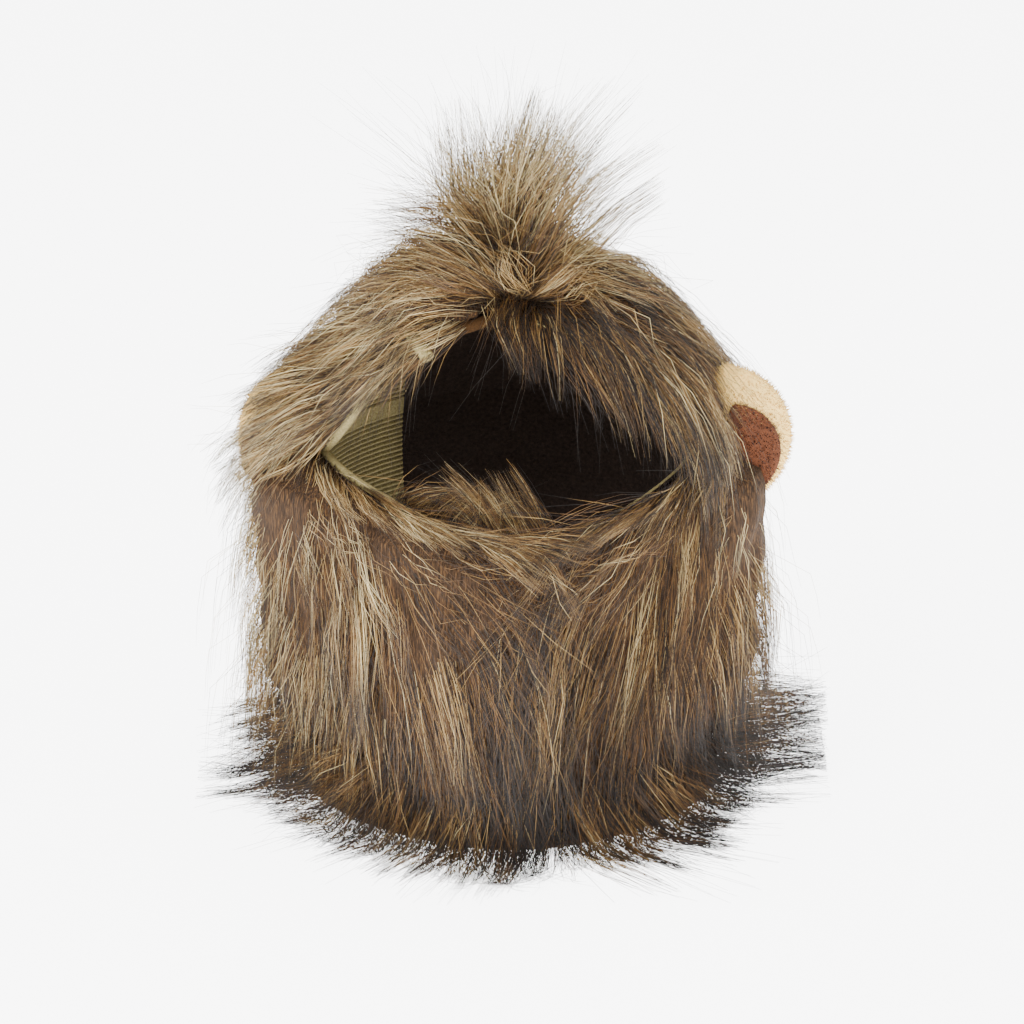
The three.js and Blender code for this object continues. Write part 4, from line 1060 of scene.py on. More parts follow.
class MANE_OT_crest_fur(Operator):
    """Fur of the strip over the crown, with the fringe at its front end"""

    bl_idname = "mane.crest_fur"
    bl_label = "Crest fur"

    def execute(self, context):
        sizes = context.scene.mane_sizes
        rng = np.random.default_rng(sizes.seed + 3)

        def within(azimuth, share, points):
            x, y, z = (points - np.array([HOOD_CENTRE.x, HOOD_CENTRE.y, 0])).T
            return (z > CORNER_HEIGHT) & (np.abs(x) < CREST_HALF_WIDTH) & ((y > 0) | (z > OPENING_TOP))

        azimuth, share = scatter(rng, fibre_count(1000), within)
        points, outward, down, across = hood_frame(azimuth, share)
        angle = 10 * DEGREE * drift(azimuth, points[:, 2], 61)
        comb = down * np.cos(angle)[:, None] + across * np.sin(angle)[:, None]
        lines, lock, tone_and_painted_shading, stray = lay_fibres(
            rng,
            points + outward * (BACKING_LIFT + BACKING / 2),
            outward * 1.2 + comb,
            comb,
            np.where(np.cos(azimuth) > 0, 0.35, 1.0) * sizes.hood_fibre,
            least=2 * MM,
            most=sizes.hood_pile,
            weight=np.full(len(points), 0.35),
            spans=3,
        )
        tone = tones(rng, lock, tone_and_painted_shading, np.where(np.cos(azimuth) > 0, 0.3, 0.62))
        tip = np.clip(rng.normal(0.8, 0.2, len(lock)), 0.1, 1)
        fibres = fur_object("crest_fur", lines, tone, tip, stray)

        def patch(u, v):
            # from the forehead over the crown and down the back, as a signed share from front to back
            front = share_at(OPENING_TOP)
            back = share_at(CORNER_HEIGHT)
            travel = u * ((1 - front) + (1 - back)) - (1 - front)
            share = np.clip(1 - np.abs(travel), 0, 0.985)
            across = 2 * v - 1
            half = azimuth_at(CREST_HALF_WIDTH * np.abs(across), section_at(share)[2]) * np.sign(across)
            return np.where(travel < 0, half, math.pi - half), share

        wool = ruled_wall("crest_wool", patch, 60, 6, BACKING_LIFT, BACKING_LIFT + 5 * MM, 71, 0.8 * MM)
        wool.data.materials.append(bpy.data.materials["crimped_underwool_painted_shade"])
        finish_piece(join(fibres, wool), "mane_fur", "crest_strip")
        return {"FINISHED"}


# Groups of the tuft, as seen from in front. Columns: lean to the right at the root and at the tip, and tilt
# to the back, in degrees, length as a share of the tuft fibre, and how many of the fibres
TUFT_GROUPS = np.array(
    [
        (-20, -56, -6, 1.14, 3.0),
        (-26, -14, 2, 0.88, 1.6),
        (-6, -22, -8, 1.12, 2.0),
        (-2, 14, -8, 1.16, 2.4),
        (4, -10, 8, 1.0, 1.6),
        (15, 50, -4, 1.06, 2.6),
        (28, 8, 4, 0.94, 1.6),
        (-46, -66, -14, 0.8, 2.0),
        (-72, -90, -20, 0.86, 1.8),
        (50, 70, -14, 0.68, 1.8),
        (76, 95, -20, 0.7, 1.6),
        (-38, -56, -36, 0.66, 1.6),
        (-18, -30, -42, 0.62, 0.8),
        (18, 30, -42, 0.62, 0.8),
        (36, 54, -34, 0.66, 1.6),
        (-36, -50, 28, 0.76, 1.4),
        (-6, 6, 32, 0.86, 1.8),
        (34, 48, 28, 0.72, 1.4),
    ]
)


class MANE_OT_crown_tuft(Operator):
    """Upright fur on the crown, in a fan"""

    bl_idname = "mane.crown_tuft"
    bl_label = "Crown tuft"

    def execute(self, context):
        sizes = context.scene.mane_sizes
        rng = np.random.default_rng(sizes.seed + 4)
        count = fibre_count(3400)
        group = rng.choice(len(TUFT_GROUPS), count, p=TUFT_GROUPS[:, 4] / TUFT_GROUPS[:, 4].sum())
        lean, bend, tilt, reach, _ = TUFT_GROUPS[group].T
        own_lean = rng.normal(0, 6, count)
        lean = (lean + own_lean) * DEGREE
        bend = (bend + own_lean) * DEGREE
        tilt = (tilt + rng.normal(0, 6, count)) * DEGREE
        across = np.sin(lean) * 10 * MM + rng.normal(0, 3.5 * MM, count)
        back = np.sin(tilt) * 34 * MM + rng.normal(0, 6 * MM, count)
        root_x = HOOD_CENTRE.x + np.clip(across, -13 * MM, 13 * MM)
        root_y = HOOD_CENTRE.y + np.clip(back, -25 * MM, 25 * MM)
        side = np.hypot(root_x - HOOD_CENTRE.x, root_y - HOOD_CENTRE.y)
        cap = MERIDIAN[MERIDIAN[:, 2] > 0.8 * HOOD_HEIGHT][::-1]
        crown = np.interp(side, cap[:, 0] * math.sqrt(2), cap[:, 2])
        starts = np.stack([root_x, root_y, crown + BACKING_LIFT + BACKING], axis=1)
        heading = unit(np.stack([np.sin(lean), np.sin(tilt), np.cos(lean) * np.cos(tilt)], axis=1))
        comb = unit(np.stack([np.sin(bend), np.sin(tilt * 1.2), np.cos(bend) * np.cos(tilt)], axis=1))
        lines, lock, tone_and_painted_shading, stray = lay_fibres(
            rng,
            starts,
            heading,
            comb,
            sizes.tuft_fibre * reach,
            least=0,
            most=0,
            weight=0.02 + 0.3 * np.abs(np.sin(lean)) ** 2,
            lock_size=52,
            tress_size=230,
            gather=0.62,
            lock_spread=0.16,
            wave=3.0 * MM,
            hug=False,
        )
        tone = tones(rng, lock, tone_and_painted_shading, 0.77 - 0.36 * smoothstep(-14 * DEGREE, -34 * DEGREE, tilt))
        tip = np.clip(rng.normal(0.35, 0.3, count), 0.0, 1)
        fibres = fur_object("crown_tuft_fur", lines, tone, tip, stray)
        pad_lift = BACKING_LIFT + BACKING + 0.4 * MM

        def patch(u, v):
            travel = (2 * u - 1) * 22 * MM / MERIDIAN_LENGTH
            share = np.clip(1 - np.abs(travel), 0, 0.985)
            across = 2 * v - 1
            wide = CREST_HALF_WIDTH * 0.95 * np.abs(across)
            half = azimuth_at(wide, section_at(share)[2]) * np.sign(across)
            return np.where(travel < 0, half, math.pi - half), share

        wool = ruled_wall("tuft_wool", patch, 24, 6, pad_lift, pad_lift + 5 * MM, 81, 0.8 * MM)
        wool.data.materials.append(bpy.data.materials["crimped_underwool_painted_shade"])
        finish_piece(join(fibres, wool), "mane_fur", "crown_tuft")
        return {"FINISHED"}


def no_rise(azimuth):
    """No lift off the panel below, for the panels that have none below them."""
    return 0 * azimuth


def neck_panel(
    name,
    first_azimuth,
    last_azimuth,
    count,
    angle_at,
    mean_at,
    seed_offset,
    rise_at=no_rise,
    rim_side=0,
    spans=4,
):
    """Fur and underwool of a panel below the seam, between two azimuths.

    angle_at and mean_at give how far the comb turns to the right and how light the fur is, by azimuth,
    height and distance below the upper edge. rim_side is -1 or 1 for a flap, whose fur folds over the
    opening's edge at its left or right.
    """
    sizes = bpy.context.scene.mane_sizes
    rng = np.random.default_rng(sizes.seed + seed_offset)

    def wrapped(azimuth):
        return np.where(azimuth < first_azimuth, azimuth + 2 * math.pi, azimuth)

    def top_at(azimuth):
        x = inner_face(azimuth, share_at(CORNER_HEIGHT) + 0 * azimuth)[..., 0] - HOOD_CENTRE.x
        return np.where(np.cos(azimuth) > 0, np.minimum(opening_floor_at(x), CORNER_HEIGHT), CORNER_HEIGHT)

    def within(azimuth, share, points):
        turned = wrapped(azimuth)
        return (turned < last_azimuth) & (points[:, 2] > NECK_SEAM) & (points[:, 2] < top_at(azimuth))

    azimuth, share = scatter(rng, fibre_count(count), within)
    points, outward, down, across = hood_frame(azimuth, share)
    height = points[:, 2]
    below_rim = top_at(azimuth) - height
    angle = angle_at(azimuth, height, below_rim) + 13 * DEGREE * drift(azimuth, height, 91 + seed_offset)
    comb = down * np.cos(angle)[:, None] + across * np.sin(angle)[:, None]
    rise = rise_at(azimuth)
    frontness = smoothstep(0.45, 0.85, np.cos(azimuth))
    by_height = smoothstep(10 * MM, 50 * MM, height) * (0.4 + 0.6 * smoothstep(118 * MM, 92 * MM, height))
    sideness = sideness_at(azimuth) * by_height
    starts = points + outward * (BACKING_LIFT + BACKING / 2 + rise)[:, None]
    first = outward * (0.6 + 0.5 * sideness)[:, None] + comb
    length = sizes.neck_fibre * (0.78 + 0.22 * frontness)
    most = sizes.neck_pile + np.where(np.sin(azimuth) < 0, 25 * MM, 23 * MM) * sideness + rise
    mean = mean_at(azimuth, height, below_rim) + 0.05 * drift(azimuth * 1.5, height, 151 + seed_offset)
    tip_mean = 0.5 + 0.7 * smoothstep(75 * MM, 25 * MM, height) + 0.25 * (1 - frontness)
    wave = np.full(len(mean), 2.6 * MM)
    weight = np.full(len(mean), 0.3)
    if rim_side:
        folded = rim_fur(rng, fibre_count(900), rim_side, rise_at)
        more = len(folded[3])
        starts = np.vstack([starts, folded[0]])
        first = np.vstack([first, folded[1]])
        comb = np.vstack([comb, folded[2]])
        length = np.concatenate([length, rng.uniform(30, 52, more) * MM])
        rise = np.concatenate([rise, rise_at(folded[3])])
        most = np.concatenate([most, 0.8 * sizes.neck_pile + rise_at(folded[3])])
        mean = np.concatenate([mean, np.full(more, 0.43 if rim_side < 0 else 0.32)])
        tip_mean = np.concatenate([tip_mean, np.full(more, 0.35)])
        wave = np.concatenate([wave, np.full(more, 0.9 * MM)])
        weight = np.concatenate([weight, np.full(more, 0.06)])
    lines, lock, tone_and_painted_shading, stray = lay_fibres(
        rng,
        starts,
        first,
        comb,
        length,
        least=2 * MM + rise,
        most=most,
        weight=weight,
        wave=wave,
        lock_spread=0.18,
        stray=0.14,
        spans=spans,
    )
    tone = tones(rng, lock, tone_and_painted_shading, mean)
    tip = np.clip(rng.normal(0, 0.3, len(lock)) + tip_mean, 0.05, 1.8)
    fibres = fur_object(name + "_fur", lines, tone, tip, stray)

    def patch(u, v):
        azimuth = first_azimuth + u * (last_azimuth - first_azimuth)
        height = NECK_SEAM + v * (top_at(azimuth) - NECK_SEAM)
        return azimuth, share_at(height)

    def swell_at(azimuth, height):
        return 13 * MM * sideness_at(azimuth) * smoothstep(10 * MM, 45 * MM, height)

    wool_seed = 101 + seed_offset
    wool = ruled_wall(
        name + "_wool", patch, 50, 24, BACKING_LIFT, BACKING_LIFT + 6 * MM, wool_seed, 1.4 * MM, swell_at
    )
    if rise_at is overlap_rise:
        raise_overlap(wool, rise_at)
    wool.data.materials.append(bpy.data.materials["crimped_underwool_painted_shade"])
    piece = join(fibres, wool)
    finish_piece(piece, "mane_fur", name)
    return piece


def sideness_at(azimuth):
    """1 at the hood's sides, where the neck fur bulges out, and 0 in front and behind."""
    return smoothstep(0.75, 0.1, np.abs(np.cos(azimuth)))


def overlap_rise(azimuth):
    """How far the left flap is lifted off the hood where it crosses the right one."""
    return 4.7 * MM * smoothstep(-42 * DEGREE, -13 * DEGREE, azimuth)


def raise_overlap(wool, rise_at):
    """Moves the left flap's underwool outwards where the flap crosses the right one."""
    mesh = wool.data
    points = np.empty(len(mesh.vertices) * 3, np.float32)
    mesh.vertices.foreach_get("co", points)
    points = points.reshape(-1, 3)
    away = points[:, :2] - np.array([HOOD_CENTRE.x, HOOD_CENTRE.y])
    azimuth = np.arctan2(away[:, 0] / HOOD_HALF_WIDTH, -away[:, 1] / HOOD_HALF_DEPTH)
    points[:, :2] += unit(away) * rise_at(azimuth)[:, None]
    mesh.vertices.foreach_set("co", points.reshape(-1))
    mesh.update()


def rim_fur(rng, count, side, rise_at):
    """The fur that folds over the opening's lower edge and runs along it, towards the lip.

    Gives roots, first directions, combs and azimuths.
    """
    across = LIP_SIDE + side * rng.uniform(0.0, 1.0, count) ** 0.9 * (OPENING_HALF_WIDTH - side * LIP_SIDE)
    height = opening_floor_at(across) - rng.uniform(-1 * MM, 4 * MM, count)
    azimuth = np.sign(across) * azimuth_at(np.abs(across), height)
    points, outward, _, _ = hood_frame(azimuth, share_at(height))
    slope = (CORNER_HEIGHT - LIP_HEIGHT) / OPENING_HALF_WIDTH
    along = unit(np.stack([-side + 0 * across, 0 * across, -slope + 0 * across], axis=1))
    tangent = unit(along - outward * (along * outward).sum(axis=1, keepdims=True))
    turning = smoothstep(40 * MM, 2 * MM, np.abs(across - LIP_SIDE))
    first = outward * 0.35 + tangent * (0.8 * (1 - turning))[:, None] - DOWN * 0.7
    comb = unit(tangent + DOWN * (rng.uniform(-0.05, 0.2, count) + 1.2 * turning)[:, None])
    lift = rng.uniform(0.2 * MM, BACKING_LIFT + 1 * MM, count) + rise_at(azimuth)
    return points + outward * lift[:, None], first, comb, azimuth


def chin_tuft(rng, count):
    """The right flap's end, which stands up inside the opening.

    Half of its fur leans to the left, and the rest curls over to the right. Gives roots, first directions,
    combs, lengths and tones.
    """
    leaning = rng.uniform(size=count) < 0.5
    side = np.where(leaning, rng.uniform(-8, 17, count), rng.uniform(-38, -4, count)) * MM
    height = opening_floor_at(side) - rng.uniform(0, 5 * MM, count)
    azimuth = np.sign(side) * azimuth_at(np.abs(side), height)
    points, outward, _, _ = hood_frame(azimuth, share_at(height))
    own = rng.normal(0, 0.15, count)
    depth = 0.3 + rng.normal(0, 0.28, count)
    first = np.stack([np.where(leaning, -0.1, -0.3) + own, depth, 1 + 0 * side], axis=1)
    comb = np.stack([np.where(leaning, -0.8, 1.1) + own, depth, np.where(leaning, 0.8, -0.1)], axis=1)
    length = np.where(leaning, rng.uniform(24, 40, count), rng.uniform(18, 34, count)) * MM
    return points + outward * BACKING_LIFT, unit(first), unit(comb), length, np.where(leaning, 0.42, 0.25)


class MANE_OT_front_flaps(Operator):
    """Fur of the two flaps that close under the chin"""

    bl_idname = "mane.front_flaps"
    bl_label = "Front flaps"

    def execute(self, context):
        def left_angle(azimuth, height, below_rim):
            swoop = (14 + 44 * np.exp(-below_rim / (14 * MM))) * smoothstep(-1.7, -0.9, azimuth)
            flare = 14 * smoothstep(70 * MM, 30 * MM, height) * smoothstep(-0.5, -0.9, azimuth)
            return (swoop * smoothstep(0.3, -0.4, azimuth) - flare) * DEGREE

        def left_tone(azimuth, height, below_rim):
            band = np.exp(-below_rim / (22 * MM)) * smoothstep(-1.2, -0.6, azimuth)
            beside = 0.4 * smoothstep(0.95, 0.6, np.cos(azimuth))
            return 0.21 + 0.06 * band + beside - 0.15 * smoothstep(80 * MM, 15 * MM, height)

        def right_angle(azimuth, height, below_rim):
            swoop = -(6 + 46 * np.exp(-below_rim / (30 * MM))) * smoothstep(1.7, 0.9, azimuth)
            flare = 24 * smoothstep(60 * MM, 25 * MM, height) * smoothstep(0.25, 0.6, azimuth)
            return (swoop + flare) * DEGREE

        def right_tone(azimuth, height, below_rim):
            beside = 0.2 * smoothstep(0.75, 0.2, np.cos(azimuth)) * smoothstep(55 * MM, 100 * MM, height)
            darker = 0.13 + 0.12 * smoothstep(0.8, 0.3, np.cos(azimuth))
            low = darker * smoothstep(80 * MM, 30 * MM, height)
            return 0.25 + 0.14 * np.exp(-below_rim / (30 * MM)) + beside - low

        neck_panel(
            "chin_flap_left",
            -FLAP_BACK_EDGE,
            LEFT_FLAP_END,
            4400,
            left_angle,
            left_tone,
            5,
            rise_at=overlap_rise,
            rim_side=-1,
        )
        neck_panel(
            "chin_flap_right",
            LEFT_FLAP_END - 0.08,
            FLAP_BACK_EDGE,
            3400,
            right_angle,
            right_tone,
            6,
            rim_side=1,
        )
        sizes = context.scene.mane_sizes
        rng = np.random.default_rng(sizes.seed + 8)
        count = fibre_count(1300)
        starts, first, comb, length, mean = chin_tuft(rng, count)
        lines, lock, tone_and_painted_shading, stray = lay_fibres(
            rng,
            starts,
            first,
            comb,
            length,
            least=0,
            most=0,
            weight=np.full(count, 0.15),
            lock_size=60,
            wave=1.6 * MM,
            hug=False,
        )
        tone = tones(rng, lock, tone_and_painted_shading, mean)
        tip = np.clip(rng.normal(0.3, 0.2, count), 0, 1)
        chin = fur_object("chin_tuft_fur", lines, tone, tip, stray)
        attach(chin, "root")
        return {"FINISHED"}


class MANE_OT_neck_back(Operator):
    """Fur round the back of the neck"""

    bl_idname = "mane.neck_back"
    bl_label = "Back of the neck"

    def execute(self, context):
        neck_panel(
            "neck_back",
            FLAP_BACK_EDGE,
            2 * math.pi - FLAP_BACK_EDGE,
            2050,
            lambda azimuth, height, below_rim: 0 * azimuth,
            lambda azimuth, height, below_rim: 0.5 - 0.2 * smoothstep(50 * MM, 15 * MM, height),
            7,
            spans=3,
        )
        return {"FINISHED"}


class MANE_OT_neck_ruff(Operator):
    """Flared fur at the hem, dark at its tips, that spreads over the floor"""

    bl_idname = "mane.neck_ruff"
    bl_label = "Neck ruff"

    def execute(self, context):
        sizes = context.scene.mane_sizes
        rng = np.random.default_rng(sizes.seed + 9)
        count = fibre_count(6100)
        slit = 3 * DEGREE
        azimuth = rng.uniform(LEFT_FLAP_END * 0.6 + slit, LEFT_FLAP_END * 0.6 + 2 * math.pi - slit, count)
        height = rng.uniform(1.5 * MM, 30 * MM, count)
        points, outward, down, across = hood_frame(azimuth, share_at(height))
        frontness = smoothstep(0.5, 0.85, np.cos(azimuth))
        level = 1 - height / (32 * MM)
        corner = smoothstep(0.05, 0.5, np.cos(azimuth))
        out = outward * np.array([1, 1, 0])
        drop = 0.05 + 0.3 * level + 0.5 * frontness
        heading = unit(out * (1 - 0.4 * frontness)[:, None] + DOWN * drop[:, None])
        on_right = azimuth < math.pi
        forward = np.cos(azimuth)
        sweep = np.where(on_right, 0.8 * smoothstep(-0.3, 0.4, forward), -0.3 * smoothstep(0.1, 0.6, forward))
        turn = sweep + 0.25 * drift(azimuth, height, 121)
        outwards = out * (0.9 - 0.4 * frontness)[:, None] + DOWN * (0.2 + 0.4 * frontness)[:, None]
        comb = unit(outwards + across * turn[:, None])
        starts = points + outward * (BACKING_LIFT + BACKING + 6 * MM * level**2)[:, None]
        at_corner = np.where(on_right, 0.5, 0.3) * corner * (1 - frontness)
        length = sizes.ruff_fibre * np.where(on_right, 1.08, 0.8) * (1 - 0.1 * frontness) * (1 - at_corner)
        lines, lock, tone_and_painted_shading, stray = lay_fibres(
            rng,
            starts,
            heading,
            comb,
            length,
            least=0,
            most=0,
            weight=0.06 + 0.3 * frontness,
            lock_size=16,
            gather=0.42,
            lock_spread=0.28,
            stray=0.2,
            wave=2.4 * MM,
            spans=3,
            hug=False,
        )
        golden = 0.14 * smoothstep(0.35, 0.8, np.cos(azimuth + 0.45)) - 0.05 * on_right
        tone = tones(rng, lock, tone_and_painted_shading, 0.25 + golden + 0.05 * drift(azimuth, height, 131), own=0.12)
        tip = np.clip(rng.normal(1.6, 0.3, count), 0.8, 2.2) - 0.5 * frontness
        fibres = fur_object("neck_ruff_fur", lines, tone, tip, stray, taper=0.55)
        around = np.linspace(0, 1, 73)[:, None]
        up = np.linspace(0, 1, 7)[None, :]
        azimuth = LEFT_FLAP_END * 0.6 + 0.5 * DEGREE + around * (2 * math.pi - 1.0 * DEGREE) + 0 * up
        flare = (1 - up) ** 1.6 * (4 - smoothstep(0.4, 0.8, np.cos(azimuth))) * MM
        level = NECK_SEAM * (0.02 + 0.98 * up) + 0 * around
        rough = 0.8 * MM * drift(azimuth * 5, level, 141) * np.sin(math.pi * up)
        at_hem = 0.001 + 0 * azimuth
        outer = lifted(azimuth, at_hem, BACKING_LIFT + BACKING + 2 * MM * (1 - up) + flare + rough)
        inner = lifted(azimuth, at_hem, BACKING_LIFT + flare * 0.75)
        outer[..., 2] = np.maximum(level + 1.5 * MM * (1 - up), 0.2 * MM)
        inner[..., 2] = np.maximum(level * 0.9, 0.05 * MM)
        wool = closed_sheet("ruff_wool", outer, inner)
        wool.data.materials.append(bpy.data.materials["crimped_underwool_painted_shade"])
        finish_piece(join(fibres, wool), "ruff_fur", "neck_ruff")
        return {"FINISHED"}


# Ears


def pile_tree():
    """Geometry nodes that set short pile all over a surface and keep the surface."""
    tree = bpy.data.node_groups.new("set_short_pile", "GeometryNodeTree")
    sockets = tree.interface
    sockets.new_socket("Surface", in_out="INPUT", socket_type="NodeSocketGeometry")
    length = sockets.new_socket("Pile length", in_out="INPUT", socket_type="NodeSocketFloat")
    density = sockets.new_socket("Fibres per square metre", in_out="INPUT", socket_type="NodeSocketFloat")
    seed = sockets.new_socket("Seed", in_out="INPUT", socket_type="NodeSocketInt")
    finish = sockets.new_socket("Pile material", in_out="INPUT", socket_type="NodeSocketMaterial")
    sockets.new_socket("Plush", in_out="OUTPUT", socket_type="NodeSocketGeometry")
    given = add_node(tree, "NodeGroupInput").outputs
    spots = add_node(
        tree,
        "GeometryNodeDistributePointsOnFaces",
        {"Mesh": given["Surface"], "Density": given["Fibres per square metre"], "Seed": given["Seed"]},
        distribute_method="RANDOM",
    )
    thin = add_node(tree, "ShaderNodeMath", {0: given["Pile length"], 1: 0.11}, operation="MULTIPLY")
    fibre = add_node(
        tree,
        "GeometryNodeMeshCone",
        {
            "Vertices": 3,
            "Radius Top": 0.0,
            "Radius Bottom": thin.outputs["Value"],
            "Depth": given["Pile length"],
        },
        fill_type="NGON",
    )
    lean = add_node(
        tree,
        "FunctionNodeRandomValue",
        {"Min": (-0.45, -0.45, 0.0), "Max": (0.45, 0.45, 6.28), "Seed": given["Seed"]},
        data_type="FLOAT_VECTOR",
    )
    turned = add_node(
        tree,
        "FunctionNodeRotateRotation",
        {"Rotation": spots.outputs["Rotation"], "Rotate By": lean.outputs["Value"]},
        rotation_space="LOCAL",
    )
    size = add_node(
        tree, "FunctionNodeRandomValue", {"Min": 0.7, "Max": 1.2, "Seed": given["Seed"]}, data_type="FLOAT"
    )
    set_out = add_node(
        tree,
        "GeometryNodeInstanceOnPoints",
        {
            "Points": spots.outputs["Points"],
            "Instance": fibre.outputs["Mesh"],
            "Rotation": turned.outputs["Rotation"],
            "Scale": size.outputs[1],
        },
    )
    real = add_node(tree, "GeometryNodeRealizeInstances", {"Geometry": set_out.outputs["Instances"]})
    whole = add_node(tree, "GeometryNodeJoinGeometry")
    tree.links.new(real.outputs["Geometry"], whole.inputs["Geometry"])
    tree.links.new(given["Surface"], whole.inputs["Geometry"])
    done = add_node(
        tree,
        "GeometryNodeSetMaterial",
        {"Geometry": whole.outputs["Geometry"], "Material": given["Pile material"]},
    )
    add_node(tree, "NodeGroupOutput", {"Plush": done.outputs["Geometry"]})
    named = {"length": length, "density": density, "seed": seed, "finish": finish}
    return tree, {name: socket.identifier for name, socket in named.items()}


def plush_piece(node, name, material, slot, density, seed, spread, shift):
    """A rounded copy of an ear's solid with short pile on it.

    It is spread from its edge at the hood and shifted, as rounding draws its corners in.
    """
    sizes = bpy.context.scene.mane_sizes
    made = bpy.data.objects.new(name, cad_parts[node].data.copy())
    bpy.context.collection.objects.link(made)
    shape = bmesh.new()
    shape.from_mesh(made.data)
    bmesh.ops.remove_doubles(shape, verts=shape.verts, dist=0.02 * MM)
    bmesh.ops.dissolve_limit(shape, angle_limit=2 * DEGREE, verts=shape.verts, edges=shape.edges)
    low, high = (Vector(corner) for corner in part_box(node))
    fixed = Vector((low.x if low.x > 0 else high.x, (low.y + high.y) / 2, (low.z + high.z) / 2))
    for vertex in shape.verts:
        away = Vector(way * share for way, share in zip(vertex.co - fixed, spread))
        vertex.co = fixed + Vector(shift) + away
    shape.to_mesh(made.data)
    shape.free()
    made.data.materials.clear()
    made.data.materials.append(material)
    rounding = made.modifiers.new("Rounding", "SUBSURF")
    rounding.levels = rounding.render_levels = 2
    tree, sockets = pile_tree()
    modifier = made.modifiers.new("Pile", "NODES")
    modifier.node_group = tree
    modifier[sockets["length"]] = sizes.plush_pile
    modifier[sockets["density"]] = density
    modifier[sockets["seed"]] = seed
    modifier[sockets["finish"]] = material
    baked(made)
    made.data.shade_smooth()
    finish_piece(made, slot, node)
    return made


class MANE_OT_ears(Operator):
    """Plush ears with their darker inside patches"""

    bl_idname = "mane.ears"
    bl_label = "Ears"

    def execute(self, context):
        for seed, side in enumerate(("left", "right")):
            plush_piece(
                f"ear_{side}_shell",
                f"ear_{side}_plush",
                bpy.data.materials["cream_polyester_plush"],
                "ear_plush",
                1.6e6,
                seed,
                spread=(1.0 if side == "left" else 1.12, 1.0, 1.04),
                shift=(0, 0, 0),
            )
            plush_piece(
                f"ear_{side}_patch",
                f"ear_{side}_inside",
                bpy.data.materials["brown_polyester_plush"],
                "ear_patch",
                1.6e6,
                seed + 2,
                spread=(1.35, 1.0, 1.2),
                shift=(0, -2 * MM, -4 * MM),
            )
        return {"FINISHED"}


# Facing and lining


def stitch_tree():
    """Geometry nodes that lay a running stitch along each line."""
    tree = bpy.data.node_groups.new("lay_stitches", "GeometryNodeTree")
    sockets = tree.interface
    sockets.new_socket("Seam lines", in_out="INPUT", socket_type="NodeSocketGeometry")
    pitch = sockets.new_socket("Stitch pitch", in_out="INPUT", socket_type="NodeSocketFloat")
    thread = sockets.new_socket("Thread radius", in_out="INPUT", socket_type="NodeSocketFloat")
    finish = sockets.new_socket("Thread material", in_out="INPUT", socket_type="NodeSocketMaterial")
    sockets.new_socket("Stitches", in_out="OUTPUT", socket_type="NodeSocketGeometry")
    given = add_node(tree, "NodeGroupInput").outputs
    lines = add_node(tree, "GeometryNodeMeshToCurve", {"Mesh": given["Seam lines"]})
    spots = add_node(
        tree,
        "GeometryNodeCurveToPoints",
        {"Curve": lines.outputs["Curve"], "Length": given["Stitch pitch"]},
        mode="LENGTH",
    )
    reach = add_node(tree, "ShaderNodeMath", {0: given["Stitch pitch"], 1: 0.7}, operation="MULTIPLY")
    stitch = add_node(
        tree,
        "GeometryNodeMeshCylinder",
        {"Vertices": 5, "Radius": given["Thread radius"], "Depth": reach.outputs["Value"]},
        fill_type="NGON",
    )
    along = add_node(
        tree,
        "FunctionNodeAlignRotationToVector",
        {"Vector": spots.outputs["Tangent"]},
        axis="Z",
        pivot_axis="AUTO",
    )
    laid = add_node(
        tree,
        "GeometryNodeInstanceOnPoints",
        {
            "Points": spots.outputs["Points"],
            "Instance": stitch.outputs["Mesh"],
            "Rotation": along.outputs["Rotation"],
        },
    )
    real = add_node(tree, "GeometryNodeRealizeInstances", {"Geometry": laid.outputs["Instances"]})
    done = add_node(
        tree,
        "GeometryNodeSetMaterial",
        {"Geometry": real.outputs["Geometry"], "Material": given["Thread material"]},
    )
    add_node(tree, "NodeGroupOutput", {"Stitches": done.outputs["Geometry"]})
    return tree, {"pitch": pitch.identifier, "thread": thread.identifier, "finish": finish.identifier}


